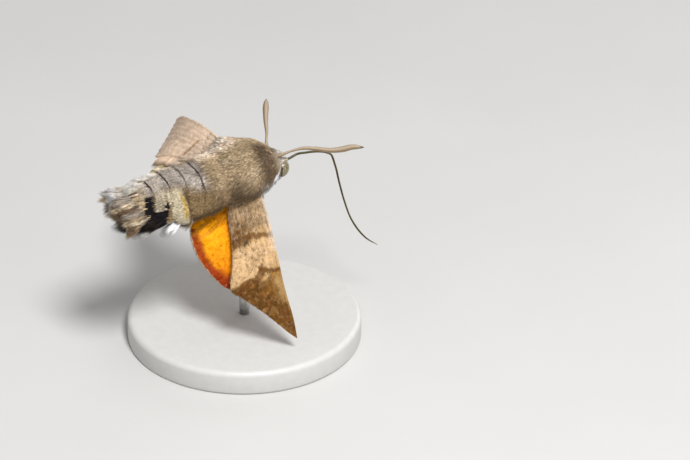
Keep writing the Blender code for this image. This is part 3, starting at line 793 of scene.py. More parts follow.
def head_skin(depth, turn):
    """The skin sinks in round the eyes, so that they bulge out of the head's sides."""
    high = 90 - np.abs(turn_degrees(turn) - 90)
    orbit = band(high, -42.0, 18.0, 14.0) * step(-0.2, 0.35, depth) * step(2.2, 1.7, depth)
    return head_surface(depth, turn, -HEAD_COAT - ORBIT_DEPTH * orbit)


def neck_surface(share, turn):
    """The bridge of skin from the thorax, at 0, to the head, at 1."""
    share = share[..., None]
    body = trunk_skin(np.full(turn.shape, THORAX_FRONT - 0.25), turn)
    return body * (1 - share) + head_skin(np.full(turn.shape, 0.1), turn) * share


def head_tint(depth, turn):
    angle = turn_degrees(turn)
    high = 90 - np.abs(angle - 90)
    spot = np.stack([depth, -2 * np.cos(turn), 2 * np.sin(turn)], axis=-1)
    fine = noise(spot, 0.35, 14)
    colour = np.ones(depth.shape + (3,)) * np.array((0.61, 0.56, 0.50))
    colour = paint(colour, TAN, 0.35 * step(1.2, 2.0, depth))
    colour = paint(colour, UMBER, 0.55 * band(high, 8, 36, 8) * step(0.9, 1.5, depth) * step(-0.4, 0.5, fine))
    colour = paint(colour, UMBER, 0.30 * step(0.45, 0.1, depth) * step(10, 40, high) * step(-0.3, 0.3, fine))
    colour = paint(colour, WHITE, step(4, -8, high + 8 * fine))
    return np.clip(colour * (1 + 0.12 * fine[..., None]), 0.004, 1.0)


def build_skin(finish):
    """One skin from the tail's root to the face."""
    around = 132
    turns = np.arange(around) * 2 * math.pi / around
    stations = np.arange(TRUNK[0][0], THORAX_FRONT - 0.25, 0.115)
    x, turn = np.meshgrid(stations, turns, indexing="ij")
    body = trunk_skin(x, turn)
    body_tint = trunk_tint(x, turn)
    depths = np.concatenate([np.arange(0.1, 2.2, 0.1), np.linspace(2.2, HEAD[-1][0], 8)])
    depth, turn = np.meshgrid(depths, turns, indexing="ij")
    face = head_skin(depth, turn)
    face_tint = head_tint(depth, turn)
    bridge, turn = np.meshgrid([0.25, 0.5, 0.75], turns, indexing="ij")
    neck = neck_surface(bridge, turn)
    neck_tint = body_tint[-1] * (1 - bridge[..., None]) + face_tint[0] * bridge[..., None]
    points, faces = loft(np.concatenate([body, neck, face]))
    tints = np.concatenate([body_tint, neck_tint, face_tint]).reshape(-1, 3)
    tints = np.concatenate([tints, tints[:1], tints[-1:]])
    return piece("moth_skin", points, faces, finish, tints, nodes=("thorax", "abdomen", "head"))


def vary(draw, tint, low, high, groups=None, spread=0.0):
    """Each tuft's own brightness, with its clump's on top."""
    shade = draw.uniform(low, high, len(tint))
    if groups is not None:
        shade = shade * (1 + spread * draw.uniform(-1, 1, groups.max() + 1)[groups])
    return np.clip(tint * shade[:, None], 0.004, 1.0)


def trunk_lay(x, turn, along_x, along_turn, drift):
    """The lie of the coat: backward, and downward over the flanks of the thorax."""
    angle = turn_degrees(turn)
    high = 90 - np.abs(angle - 90)
    down = np.where(angle > 90, 1.0, -1.0) * step(80, 15, high) * step(-60, -10, high)
    down = down * (0.12 + 0.75 * step(WAIST_X - 1.0, WAIST_X + 2.0, x))
    return unit(-along_x + along_turn * (down + drift)[:, None])


def trunk_coat(name, seed, count, x_range, turn_range, length, width, finish, slot, rings=2, keep=None,
               rise=(0.08, 0.26), spacing=0.05, pull=0.35, contrast=(0.75, 1.2), limit=True, sink=0.05):
    draw = np.random.default_rng(seed)
    turns = (math.radians(turn_range[0]), math.radians(turn_range[1]))
    x, turn = scatter(draw, trunk_skin, count, x_range, turns, keep)
    root, along_x, along_turn, normal = surface_frame(trunk_skin, x, turn)
    drift = 0.30 * noise(root, 1.1, seed + 1) + draw.uniform(-0.10, 0.10, len(x))
    heading = trunk_lay(x, turn, along_x, along_turn, drift)
    lengths = draw.uniform(*length, len(x)) * (1 - 0.4 * step(3.0, 4.3, x))
    if limit:
        _, behind, ahead = segment_share(segment_place(x, turn))
        ringed = (x < WAIST_X - 1.5) & (height_angle(x, turn) > draw.uniform(20, 45, len(x)))
        lengths = np.where(ringed, np.minimum(lengths, np.maximum(ahead + 0.12, 0.24)), lengths)
        lengths = np.where(ringed & (behind < 0.14), 0.24, lengths)
    heading, clump = clumped(draw, root, heading, lengths, spacing, pull)
    tint = trunk_tint(x, turn)
    tint = vary(draw, tint, *contrast, clump, 0.14)
    tip = np.clip(tint * draw.uniform(0.95, 1.3, len(x))[:, None], 0, 1)
    place = unwrap(turn, x, turns, x_range)
    lift = draw.uniform(*rise, len(x)) * (1 - 0.3 * step(3.2, 4.3, x))
    sink = sink * (1 - 1.2 * step(3.2, 4.2, x))[:, None]
    return tufts(name, root - normal * sink, heading, normal, lengths, draw.uniform(*width, len(x)), tint, tip,
                 place, finish, rise=lift, droop=draw.uniform(0.05, 0.2, len(x)),
                 curl=draw.uniform(-0.12, 0.12, len(x)), rings=rings)


def build_trunk_coat(fur, banded):
    coat = trunk_coat
    behind_waist = (-19.2, WAIST_X + 0.4)
    ahead = (WAIST_X - 0.6, THORAX_FRONT - 0.2)
    coat("coat_abdomen_back", 101, 17500, behind_waist, (20, 175), (0.42, 0.70), (0.07, 0.12), banded, "abdomen_fur",
         rise=(0.16, 0.36), contrast=(0.68, 1.22), sink=0.0)
    coat("coat_abdomen_flanks", 102, 12000, behind_waist, (175, 380), (0.5, 0.85), (0.10, 0.16), banded,
         "abdomen_fur", rise=(0.14, 0.32), sink=0.02)
    coat("coat_thorax_under", 103, 6500, ahead, (-90, 270), (0.55, 0.9), (0.12, 0.18), fur, "fur",
         contrast=(0.62, 1.2))
    long_hair = dict(rise=(0.08, 0.34), spacing=0.12, pull=0.42, contrast=(0.5, 1.42), limit=False)
    coat("coat_thorax_right", 104, 15500, ahead, (-30, 92), (0.75, 1.45), (0.07, 0.12), fur, "fur", **long_hair)
    coat("coat_thorax_left", 105, 12000, ahead, (88, 210), (0.75, 1.45), (0.07, 0.12), fur, "fur", **long_hair)
    coat("coat_thorax_belly", 106, 3500, ahead, (210, 330), (0.8, 1.3), (0.12, 0.18), fur, "fur",
         rise=(0.05, 0.2), limit=False)
    coat("coat_waist", 107, 6300, (-6.6, -3.4), (-60, 240), (1.0, 2.0), (0.07, 0.11), fur, "fur",
         rise=(0.04, 0.16), spacing=0.12, pull=0.45, contrast=(0.5, 1.4), limit=False)


def build_neck_coat(finish):
    """The collar: hair that runs back from the head over the front of the thorax."""
    draw = np.random.default_rng(115)
    shares = (-0.05, 1.15)
    turns = (0.0, 2 * math.pi)
    share, turn = scatter(draw, neck_surface, 4200, shares, turns)
    root, along_s, along_t, normal = surface_frame(neck_surface, share, turn)
    clear = (eye_offset(root, 1)[1] > 1.15) & (eye_offset(root, -1)[1] > 1.15)
    share, turn, root, along_s, along_t, normal = (
        values[clear] for values in (share, turn, root, along_s, along_t, normal)
    )
    count = len(share)
    heading = unit(-along_s + along_t * draw.uniform(-0.15, 0.15, count)[:, None] + normal * 0.2)
    lengths = draw.uniform(0.5, 0.85, count)
    heading, clump = clumped(draw, root, heading, lengths, 0.06, 0.45)
    front = np.full(count, THORAX_FRONT - 0.3)
    mix = np.clip(share, 0, 1)[:, None]
    tint = trunk_tint(front, turn) * (1 - mix) + head_tint(np.full(count, 0.1), turn) * mix
    tint = vary(draw, tint, 0.7, 1.2, clump, 0.14)
    place = unwrap(turn, share, turns, shares)
    tufts("coat_neck", root - normal * 0.05, heading, normal, lengths, draw.uniform(0.07, 0.12, count), tint,
          np.clip(tint * 1.15, 0, 1), place, finish, rise=draw.uniform(0.1, 0.35, count))


def eye_offset(points, side):
    """Points in the body frame as offsets from an eye's centre, in the head's axes and as shares of its radii."""
    local = (points - np.array(NECK)) @ HEAD_TURN
    offset = local - np.array([EYE_CENTRE[0], side * EYE_CENTRE[1], EYE_CENTRE[2]])
    return offset, np.linalg.norm(offset / np.array(EYE_RADII), axis=1)


def build_head_coat(finish):
    draw = np.random.default_rng(120)
    depths = (0.0, HEAD[-1][0])
    turns = (0.0, 2 * math.pi)
    depth, turn = scatter(draw, head_skin, 7200, depths, turns)
    root, along_d, along_t, normal = surface_frame(head_skin, depth, turn)
    clear = (eye_offset(root, 1)[1] > 1.12) & (eye_offset(root, -1)[1] > 1.12)
    depth, turn, root, along_d, along_t, normal = (
        values[clear] for values in (depth, turn, root, along_d, along_t, normal)
    )
    count = len(depth)
    outward = np.where(turn_degrees(turn) > 90, 1.0, -1.0) * 0.5
    back = np.where(depth < 1.9, -1.0, 1.0)
    heading = unit(along_d * back[:, None] + along_t * (outward + draw.uniform(-0.3, 0.3, count))[:, None])
    lengths = draw.uniform(0.30, 0.55, count) * (1 - 0.35 * step(1.2, 2.2, depth))
    heading, clump = clumped(draw, root, heading, lengths, 0.06, 0.4)
    tint = vary(draw, head_tint(depth, turn), 0.7, 1.25, clump, 0.12)
    place = unwrap(turn, depth, turns, depths)
    tufts("coat_head", root - normal * 0.04, heading, normal, lengths, draw.uniform(0.07, 0.11, count), tint,
          np.clip(tint * 1.2, 0, 1), place, finish, rise=draw.uniform(0.1, 0.35, count))


def build_eye_ring(finish):
    """Short pale scales on the head round each eye, pointing away from it."""
    draw = np.random.default_rng(131)
    depths = (0.0, HEAD[-1][0])
    turns = (0.0, 2 * math.pi)
    depth, turn = scatter(draw, head_skin, 24000, depths, turns)
    root, _, _, normal = surface_frame(head_skin, depth, turn)
    for name, side in (("left", 1), ("right", -1)):
        offset, share = eye_offset(root, side)
        near = (share > 0.99) & (share < 1.2)
        base, out, up = root[near], offset[near] @ HEAD_TURN.T, normal[near]
        count = len(base)
        heading = unit(out - up * np.sum(out * up, axis=1, keepdims=True))
        heading = unit(heading + up * 0.5 + draw.normal(0, 0.12, (count, 3)))
        tint = paint(np.ones((count, 3)) * np.array(SILVER), CREAM, step(1.14, 1.04, share[near]))
        tint = vary(draw, tint, 0.75, 1.2)
        place = unwrap(turn[near], depth[near], turns, depths)
        tufts(f"eye_ring_{name}", base, heading, up, draw.uniform(0.16, 0.28, count),
              draw.uniform(0.06, 0.09, count), tint, np.clip(tint * 1.1, 0, 1), place, finish, rise=0.15)


def build_eyes(finish):
    """Compound eyes, striped olive brown, with a painted shadow slit towards the thorax."""
    rows = 72
    columns = 96
    for name, side in (("left", 1), ("right", -1)):
        lat = np.linspace(-math.pi / 2 + 0.03, math.pi / 2 - 0.03, rows)
        lon = np.arange(columns) * 2 * math.pi / columns
        la, lo = np.meshgrid(lat, lon, indexing="ij")
        ball = np.stack([np.cos(la) * np.cos(lo), np.cos(la) * np.sin(lo), np.sin(la)], axis=-1)
        centre = np.array([EYE_CENTRE[0], side * EYE_CENTRE[1], EYE_CENTRE[2]])
        points, faces = loft(to_head(centre + ball * np.array(EYE_RADII)))
        back, aside, up = np.moveaxis(ball, -1, 0)
        inward = -0.545 * back - 0.798 * side * aside - 0.26 * up
        stripes = 0.5 + 0.5 * np.sin(back * 24 + 2.4 * noise(ball, 0.4, 61))
        spots = noise(ball, 0.13, 62)
        tint = paint(np.ones(la.shape + (3,)) * np.array((0.14, 0.105, 0.045)), (0.44, 0.35, 0.19), 0.65 * stripes)
        tint = paint(tint, (0.045, 0.030, 0.014), 0.75 * step(0.05, 0.45, up) * step(0.1, 0.5, spots))
        tint = paint(tint, (0.42, 0.35, 0.22), 0.65 * step(0.05, 0.45, up) * step(-0.25, -0.6, spots))
        # Painted shadow: a black slit along the eye's margin towards the thorax
        tint = paint(tint, (0.006, 0.005, 0.004), band(inward, -0.14, 0.12, 0.05) * band(up, -1.1, 0.35, 0.10))
        tint = paint(tint, (0.34, 0.28, 0.18), 0.7 * step(-0.86, -0.93, back))
        tints = tint.reshape(-1, 3)
        tints = np.concatenate([tints, tints[:1], tints[-1:]])
        piece(f"eye_ball_{name}", points, faces, finish, tints, nodes=(f"eye_{name}",))


def build_palps(skin, coat):
    draw = np.random.default_rng(140)
    shares = np.linspace(0, 1, 28)
    for name, side in (("left", 1), ("right", -1)):
        path = to_head(np.array(PALP_PATH) * np.array([1, side, 1]))
        radii = curve([r[0] for r in PALP_RADII], [[r[1]] for r in PALP_RADII], shares)[:, 0]
        rings = tube_rings(path, shares, radii * 0.8, 20)
        points, faces = loft(rings)
        tints = np.ones((len(points), 3)) * np.array(WHITE)
        piece(f"palp_skin_{name}", points, faces, skin, tints, nodes=(f"palp_{name}",))
        count = 1500
        share = draw.uniform(0.02, 0.98, count)
        turn = draw.uniform(0, 2 * math.pi, count)
        fine = tube_rings(path, np.linspace(0, 1, 120), curve(shares, radii[:, None], np.linspace(0, 1, 120))[:, 0] * 0.8, 72)
        i = (share * 118).astype(int)
        j = (turn / (2 * math.pi) * 72).astype(int) % 72
        root = fine[i, j]
        centre = fine.mean(axis=1)
        normal = unit(root - centre[i])
        ahead = unit(centre[np.minimum(i + 1, 119)] - centre[np.maximum(i - 1, 0)])
        heading = unit(ahead + draw.normal(0, 0.12, (count, 3)))
        up = normal @ HEAD_TURN[:, 2]
        tint = paint(np.ones((count, 3)) * np.array(WHITE), TAN, 0.8 * step(0.1, 0.6, up))
        tint = vary(draw, tint, 0.82, 1.15)
        place = np.stack([turn / (2 * math.pi), share], axis=1) * 0.98 + 0.01
        tufts(f"palp_coat_{name}", root, heading, normal, draw.uniform(0.3, 0.5, count),
              draw.uniform(0.06, 0.10, count), tint, np.clip(tint * 1.1, 0, 1), place, coat,
              rise=draw.uniform(0.1, 0.35, count))


# Side tufts and tail


def flank_turn(angle, side):
    """A turn about the trunk for an angle above the flank, on either side."""
    return np.radians(angle if side == "right" else 180 - angle)


# Tufts along each flank: name, stations, angles above the flank on the right and on the left,
# count on each side, lengths, how far they stand out, how far they hang, and colour at root and tip
SIDE_TUFTS = (
    ("white_front", (-12.9, -11.9), (-50, -6), (-50, -16), (900, 300), (2.4, 3.3), 1.0, 0.72, BRIGHT, BRIGHT),
    ("black_front", (-14.4, -13.5), (-50, 30), (-60, -14), (750, 300), (1.2, 2.0), 0.30, 0.40, BLACK, BLACK),
    ("cream_mid", (-15.1, -13.5), (38, 62), (14, 50), (620, 200), (0.8, 1.3), 0.26, 0.0, ASH, CREAM),
    ("black_mid", (-16.6, -14.2), (-60, 26), (-60, -10), (1700, 600), (2.1, 3.3), 0.34, 0.52, BLACK, SOOT),
    ("white_mid", (-15.7, -14.7), (-52, -16), (-50, -20), (520, 200), (3.8, 4.6), 0.42, 0.66, ASH, BRIGHT),
    ("black_rear", (-17.6, -15.9), (-58, 56), (-50, -6), (1000, 400), (1.5, 2.4), 0.24, 0.20, BLACK, SOOT),
    ("white_rear", (-18.4, -17.3), (-70, -24), (-40, 0), (480, 200), (3.1, 4.0), 0.36, 0.60, CREAM, BRIGHT),
    ("white_edge", (-16.6, -12.4), (-90, -84), (0, 48), (60, 1500), (1.2, 2.1), 0.36, -0.02, STRAW, BRIGHT),
    ("flank_hair", (-10.6, -4.4), (-44, -14), (-90, -84), (1500, 60), (1.1, 1.9), 0.30, 0.7, HAIR, HAIR),
    ("white_crest", (-18.6, -16.0), (-90, -84), (14, 62), (60, 760), (1.6, 2.7), 0.34, -0.06, SILVER, IVORY),
)


def build_side_tufts(finish):
    draw = np.random.default_rng(150)
    for name, stations, right, left, counts, length, out, hang, root_colour, tip_colour in SIDE_TUFTS:
        for side, angles, count in (("right", right, counts[0]), ("left", left, counts[1])):
            x = draw.uniform(*stations, count)
            angle = draw.uniform(*angles, count)
            turn = flank_turn(angle, side)
            root, along_x, _, normal = surface_frame(trunk_skin, x, turn)
            lengths = draw.uniform(*length, count)
            heading = unit(-along_x + normal * out + np.array([0, 0, -hang]) + draw.normal(0, 0.07, (count, 3)))
            heading, clump = clumped(draw, root, heading, lengths, 0.035, 0.55)
            tint = vary(draw, np.ones((count, 3)) * np.array(root_colour), 0.7, 1.25, clump, 0.15)
            tip = vary(draw, np.ones((count, 3)) * np.array(tip_colour), 0.85, 1.15)
            place = np.stack([(angle + 90) / 180, (x + 19) / 7.5], axis=1) * 0.96 + 0.02
            tufts(f"tuft_{name}_{side}", root - normal * 0.1, heading, normal, lengths,
                  draw.uniform(0.06, 0.10, count), tint, tip, place, finish,
                  rise=draw.uniform(0.0, 0.15, count), droop=draw.uniform(0.1, 0.25, count), dark=0.75)


# Brush: tiers of locks as height, count, length, lift and palette, then the outermost of each flank
FAN_TIERS = (
    (1.05, 10, 4.4, 7.0, (TAN, STRAW, TAN, UMBER, ASH)),
    (0.45, 11, 4.8, 3.5, (TAN, UMBER, STRAW, TAN)),
    (-0.15, 12, 4.9, 0.0, (UMBER, TAN, BLACK, ASH)),
    (-0.95, 9, 4.3, -7.0, (UMBER, BLACK, TAN)),
)
FAN_SPREAD = 14.0
FAN_LEAN = 0.05
FAN_START = -17.2
FAN_FLANK = ((0.45, 3.2, 24.0), (-0.25, 3.5, 30.0), (-0.95, 3.2, 26.0))
LOCK_WIDTH = 1.5
LOCK_STRANDS = 120


def lock_strands(draw, root, heading, length, width, tone, tip_tone, count=LOCK_STRANDS):
    """One lock of flat hairs: they spread at the root and draw together towards a ragged tip."""
    heading = unit(np.asarray(heading, float))
    face = np.array([0.0, 0.0, 1.0])
    side = unit(np.cross(heading, face))
    up = np.cross(side, heading)
    across = draw.uniform(-0.5, 0.5, count)
    layer = draw.uniform(-0.5, 0.5, count) * (1 - np.abs(across))
    start = draw.uniform(-0.10, 0.40, count) * length
    reach = length * draw.uniform(0.76, 1.08, count) * (1 - 0.26 * (2 * np.abs(across)) ** 2) - start
    begin = root + side * (across * width)[:, None] + up * (layer * 0.55)[:, None] + heading * start[:, None]
    finish = root + heading * (start + reach)[:, None] + side * (across * width * 0.62)[:, None]
    finish = finish + up * (layer * 0.35)[:, None] + draw.normal(0, 0.09, (count, 3))
    lay = unit(finish - begin)
    normal = unit(np.cross(side, lay) + side * (across * 0.8)[:, None])
    tint = np.ones((count, 3)) * np.asarray(tone) * draw.uniform(0.5, 1.35, (count, 1))
    tip = np.ones((count, 3)) * np.asarray(tip_tone) * draw.uniform(0.65, 1.3, (count, 1))
    return begin, lay, normal, np.linalg.norm(finish - begin, axis=1), tint, tip


def build_tail(finish):
    draw = np.random.default_rng(160)
    middle, half, above, _ = trunk_section(np.array(FAN_START - 0.45))
    locks = []
    for height, count, length, lift, tones in FAN_TIERS:
        for k in range(count):
            place = 2 * k / (count - 1) - 1
            angle = math.radians(FAN_SPREAD * place)
            root = np.array([FAN_START - 0.4 - 0.5 * place**2, half * 0.84 * place,
                             middle + height * (1 - 0.35 * place**2)])
            heading = (-math.cos(angle), math.sin(angle), math.sin(math.radians(lift)))
            reach = length * (1 - 0.22 * abs(place) ** 3 + FAN_LEAN * place) * draw.uniform(0.84, 1.06)
            tone = np.array(tones[draw.integers(len(tones))])
            tip = tone * draw.uniform(0.85, 1.35)
            if height > 0 and place > 0.35:
                tip = np.array(WHITE) * 0.95
            locks.append(lock_strands(draw, root, heading, reach, LOCK_WIDTH * draw.uniform(0.9, 1.2), tone, tip))
    for side in (1, -1):
        for height, length, spread in FAN_FLANK:
            angle = math.radians(spread)
            root = np.array([FAN_START - 1.2, side * (half * 0.9 - 0.35), middle + height])
            heading = (-math.cos(angle), side * math.sin(angle), 0.15 * height)
            tone = np.array((TAN, UMBER, STRAW)[draw.integers(3)])
            locks.append(lock_strands(draw, root, heading, length, LOCK_WIDTH, tone, tone * 1.2))
    begin, lay, normal, reach, tint, tip = (np.concatenate(values) for values in zip(*locks))
    count = len(begin)
    place = np.stack([(begin[:, 1] + 4) / 8, (begin[:, 0] + 24) / 8], axis=1)
    place = np.clip(place, 0.0, 1.0) * 0.96 + 0.02
    tufts("tail_strands", begin, lay, normal, reach, draw.uniform(0.07, 0.13, count), tint, tip, place, finish,
          rings=3, rise=draw.uniform(0.0, 0.07, count), droop=draw.uniform(0.0, 0.09, count),
          curl=draw.uniform(-0.04, 0.04, count), dark=0.6, nodes=("tail_fan",))


def build_tail_root(finish):
    """Hair over the root of the brush, so that it grows out of the last rings."""
    draw = np.random.default_rng(170)
    stations = (-19.8, -15.9)
    turns = (0.0, 2 * math.pi)

    def keep(x, turn):
        return step(-15.9, -17.4, x - 0.8 * noise(np.stack([x, turn, turn * 0], -1), 0.5, 171)) * 0.9 + 0.1

    x, turn = scatter(draw, trunk_skin, 6400, stations, turns, keep)
    root, along_x, along_turn, normal = surface_frame(trunk_skin, x, turn)
    count = len(x)
    angle = turn_degrees(turn)
    lengths = draw.uniform(1.2, 2.7, count) * (0.7 + 0.3 * step(-16.0, -17.5, x))
    fan_out = np.sin(np.radians(90 - angle)) * step(-40, 10, 90 - np.abs(angle - 90))
    heading = -along_x + normal * 0.08 - along_turn * (0.16 * fan_out)[:, None]
    heading = unit(heading + draw.normal(0, 0.05, (count, 3)))
    heading, clump = clumped(draw, root, heading, lengths, 0.045, 0.6)
    tones = np.array([TAN, STRAW, TAN, UMBER, TAN, ASH, STRAW])[draw.integers(7, size=clump.max() + 1)][clump]
    tones = paint(tones, WHITE, 0.9 * band(angle, 40, 72, 5) * band(x, -18.6, -17.9, 0.15))
    tones = paint(tones, (0.06, 0.03, 0.02), 0.85 * band(angle, 84, 98, 3) * band(x, -19.6, -18.4, 0.2))
    tones = paint(tones, WHITE, 0.8 * step(132, 146, angle) * step(200, 180, angle))
    tones = paint(tones, PINKISH, 0.6 * band(angle, 15, 55, 8) * band(x, -18.0, -16.8, 0.3))
    tint = vary(draw, tones, 0.6, 1.3, clump, 0.18)
    tufts("tail_root", root - normal * 0.05, heading, normal, lengths, draw.uniform(0.07, 0.12, count), tint,
          np.clip(tint * 1.15, 0, 1), unwrap(turn, x, turns, stations), finish,
          rise=draw.uniform(0.03, 0.14, count), droop=draw.uniform(0.05, 0.16, count))


# Wings


def outline_point(shape, out, across):
    """A point of a wing: out from root to margin, across from leading to trailing edge."""
    lead = along(shape["lead"], out)
    trail = along(shape["trail"], out)
    root = along(shape["root"], across)
    edge = along(shape["edge"], across)
    o, a = out[..., None], across[..., None]
    corners = (
        (1 - o) * ((1 - a) * np.array(shape["root"][0]) + a * np.array(shape["root"][-1]))
        + o * ((1 - a) * np.array(shape["edge"][0]) + a * np.array(shape["edge"][-1]))
    )
    return (1 - a) * lead + a * trail + (1 - o) * root + o * edge - corners


def wing_axes(side):
    span = unit(np.array(SPANS[side]))
    chord = np.array(CHORDS[side])
    chord = unit(chord - span * chord.dot(span))
    upper = np.cross(span, chord) if side == "right" else np.cross(chord, span)
    hinge = np.array(HINGE) * (np.array([1, -1, 1]) if side == "right" else 1)
    return hinge, span, chord, upper


def wing_surface(shape, side, out, across, lift=0.0):
    """Points of a wing's middle sheet, or lifted off it, with fine folds along the veins."""
    hinge, span, chord, upper = wing_axes(side)
    flat = outline_point(shape, out, across)
    s, c = flat[..., 0], flat[..., 1]
    arch = shape["arch"][side] * (1 - (2 * np.maximum(s, 0.0) / shape["length"] - 1) ** 2)
    behind = outline_point(shape, out, np.zeros_like(across))[..., 1] - c
    fall = behind * math.tan(math.radians(TWIST[side])) * (s / FOREWING["length"]) ** 2
    pleat = 0.05 * np.sin(across * math.pi * 2 * len(shape["veins"])) * step(0.0, 0.3, out)
    height = arch - fall + pleat - shape["drop"] + lift
    return hinge + s[..., None] * span + c[..., None] * chord + height[..., None] * upper


def vein_height(shape, out, across):
    """How far the veins stand above a wing's face."""
    width = 0.010 + 0.004 * (1 - out)
    height = np.zeros_like(out)
    for k, vein in enumerate(shape["veins"]):
        bent = vein + 0.012 * np.sin(out * 5 + 1.7 * k)
        height = np.maximum(height, np.exp(-(((across - bent) / width) ** 2)))
    at, front, back = shape["cell"]
    close = np.exp(-(((out - at + 0.03 * np.sin(across * 20)) / 0.010) ** 2)) * band(across, front, back, 0.01)
    return VEIN_HEIGHT * (1 - 0.6 * out) * np.maximum(height, close)


def stroke(s, c, points, width):
    """1 within a stroke along points on a wing, fading to 0 over its width."""
    points = np.asarray(points, float)
    nearest = np.full(s.shape, 99.0)
    for a, b in zip(points, points[1:]):
        run = b - a
        share = np.clip(((s - a[0]) * run[0] + (c - a[1]) * run[1]) / run.dot(run), 0, 1)
        nearest = np.minimum(nearest, np.hypot(s - a[0] - share * run[0], c - a[1] - share * run[1]))
    return step(width, width * 0.45, nearest)


FORE_GROUND = (0.45, 0.275, 0.115)
FORE_LIGHT = (0.53, 0.345, 0.180)
FORE_DARK = (0.12, 0.045, 0.008)
FORE_BASE = (0.37, 0.245, 0.135)
HIND_ORANGE = (0.80, 0.275, 0.002)
HIND_EDGE = (0.25, 0.028, 0.002)


def forewing_tint(s, c, side):
    spot = np.stack([s, c, np.zeros_like(s)], axis=-1)
    wavy = noise(spot, 1.1, 71)
    fine = noise(spot, 0.34, 72)
    drawn_s = s + 0.28 * wavy + 0.16 * fine
    drawn_c = c + 0.22 * noise(spot + 7.0, 0.8, 73)
    colour = np.ones(s.shape + (3,)) * np.array(FORE_GROUND)
    colour = paint(colour, FORE_BASE, 0.8 * step(5.0, 3.4, drawn_s))
    light = band(drawn_s, 5.6, 9.6, 0.35) * step(-3.4, -2.6, drawn_c)
    light = np.maximum(light, band(drawn_s, 6.0, 10.6, 0.4) * step(-2.4, -3.2, drawn_c))
    colour = paint(colour, FORE_LIGHT, 0.9 * light)
    limit = drawn_s - 0.9 * band(drawn_c, -3.6, -1.4, 0.7)
    outer = step(10.1, 10.9, limit)
    colour = paint(colour, (0.15, 0.058, 0.006), 0.92 * outer)
    colour = paint(colour, (0.27, 0.125, 0.02), 0.7 * outer * step(0.0, 0.7, fine + 0.5 * wavy))
    colour = paint(colour, (0.075, 0.030, 0.004), 0.8 * outer * step(-1.6, -3.0, drawn_c) * step(-0.4, 0.5, -fine - 0.4 * wavy))
    colour = paint(colour, (0.40, 0.25, 0.10), 0.75 * band(drawn_s, 11.4, 16.2, 0.7) * step(-2.0, -0.8, drawn_c))
    colour = paint(colour, UMBER, 0.75 * band(drawn_s, 0.6, 4.8, 0.5) * step(-2.0, -3.4, drawn_c) * step(-0.5, 0.4, fine))
    colour = paint(colour, (0.17, 0.085, 0.022), 0.7 * band(drawn_s, 2.0, 5.2, 0.6) * step(-0.9, -2.6, drawn_c))
    colour = paint(colour, FORE_DARK, 0.8 * stroke(drawn_s, drawn_c, ((5.9, 1.5), (5.2, -0.6), (4.5, -2.3), (5.0, -4.8)), 0.6))
    colour = paint(colour, FORE_DARK, 0.6 * stroke(drawn_s, drawn_c, ((3.6, -3.6), (4.9, -4.5)), 0.8))
    colour = paint(colour, FORE_DARK, 0.85 * stroke(drawn_s, drawn_c, ((10.8, 0.6), (10.4, -1.1), (9.6, -2.4)), 0.6))
    colour = paint(colour, FORE_DARK, 0.8 * stroke(drawn_s, drawn_c, ((9.9, -2.4), (10.9, -3.7), (11.0, -5.4), (11.6, -6.7)), 0.75))
    colour = paint(colour, FORE_DARK, 0.85 * stroke(drawn_s, drawn_c, ((15.9, -1.4), (17.6, -1.9), (19.6, -1.8)), 0.75))
    colour = paint(colour, FORE_DARK, 0.5 * stroke(drawn_s, drawn_c, ((12.6, -3.4), (15.6, -3.6), (18.0, -3.1)), 0.7))
    mottle = 0.75 if side == "right" else 0.12
    colour = paint(colour, UMBER, mottle * step(0.3, 0.8, fine) * step(1.0, 3.0, s) * step(-0.6, -2.0, c))
    colour = paint(colour, PINKISH, 0.4 * mottle * step(-0.3, -0.9, fine) * step(9.0, 7.0, s))
    colour = paint(colour, PINKISH, 0.4 * stroke(s, c, ((-1.0, 1.8), (2.0, 1.45), (7.5, 0.6)), 0.7))
    # Painted glare: the left forewing washed pale, as light glancing off the wing seen edge-on
    if side == "left":
        pale = np.array((0.62, 0.48, 0.37))
        colour = colour * 0.22 + pale * 0.78
        colour = paint(colour, (0.30, 0.165, 0.075), 0.75 * stroke(s, c, ((5.8, -1.4), (5.2, -4.3)), 0.34))
        return np.clip(colour * (1 + 0.10 * wavy[..., None]), 0.004, 1.0)
    colour = paint(colour, BLACK, 0.75 * stroke(s, c, ((5.15, -2.75), (5.5, -3.3)), 0.24))
    return np.clip(colour * (1 + 0.10 * wavy[..., None]), 0.004, 1.0)


def hindwing_tint(s, c, side):
    spot = np.stack([s, c, np.zeros_like(s)], axis=-1)
    wavy = noise(spot, 1.0, 81)
    fine = noise(spot, 0.3, 82)
    colour = np.ones(s.shape + (3,)) * np.array(HIND_ORANGE)
    colour = paint(colour, (0.95, 0.40, 0.005), 0.6 * step(-4.4, -6.4, c) * step(6.5, 2.0, s))
    colour = paint(colour, (0.75, 0.20, 0.003), 0.7 * step(6.0, 10.0, s + 0.4 * wavy))
    margin = ((1.4, -9.95), (4.6, -10.15), (7.6, -9.7), (9.7, -8.6), (11.5, -6.8))
    edge = stroke(s + 0.25 * wavy, c + 0.2 * fine, margin, 1.7)
    colour = paint(colour, HIND_EDGE, 0.95 * edge)
    tip = stroke(s + 0.3 * wavy, c, ((8.6, -8.4), (10.2, -7.2), (11.6, -6.0)), 1.5)
    colour = paint(colour, HIND_EDGE, 0.55 * tip)
    # Painted shade in two folds by the wing's root
    for fold in (((-0.6, -4.4), (0.8, -7.0), (1.6, -9.4)), ((0.9, -4.0), (1.9, -6.4), (2.6, -8.8))):
        colour = paint(colour, (0.42, 0.16, 0.012), 0.6 * stroke(s, c, fold, 0.42))
    # The wing's own darker base by the abdomen, with painted shadow of the abdomen on it
    colour = paint(colour, (0.30, 0.12, 0.008), 0.3 * step(0.8, -0.8, s) * step(-6.5, -5.0, c))
    return np.clip(colour * (1 + 0.08 * wavy[..., None]), 0.004, 1.0)


UNDER_TINT = (0.46, 0.22, 0.055)


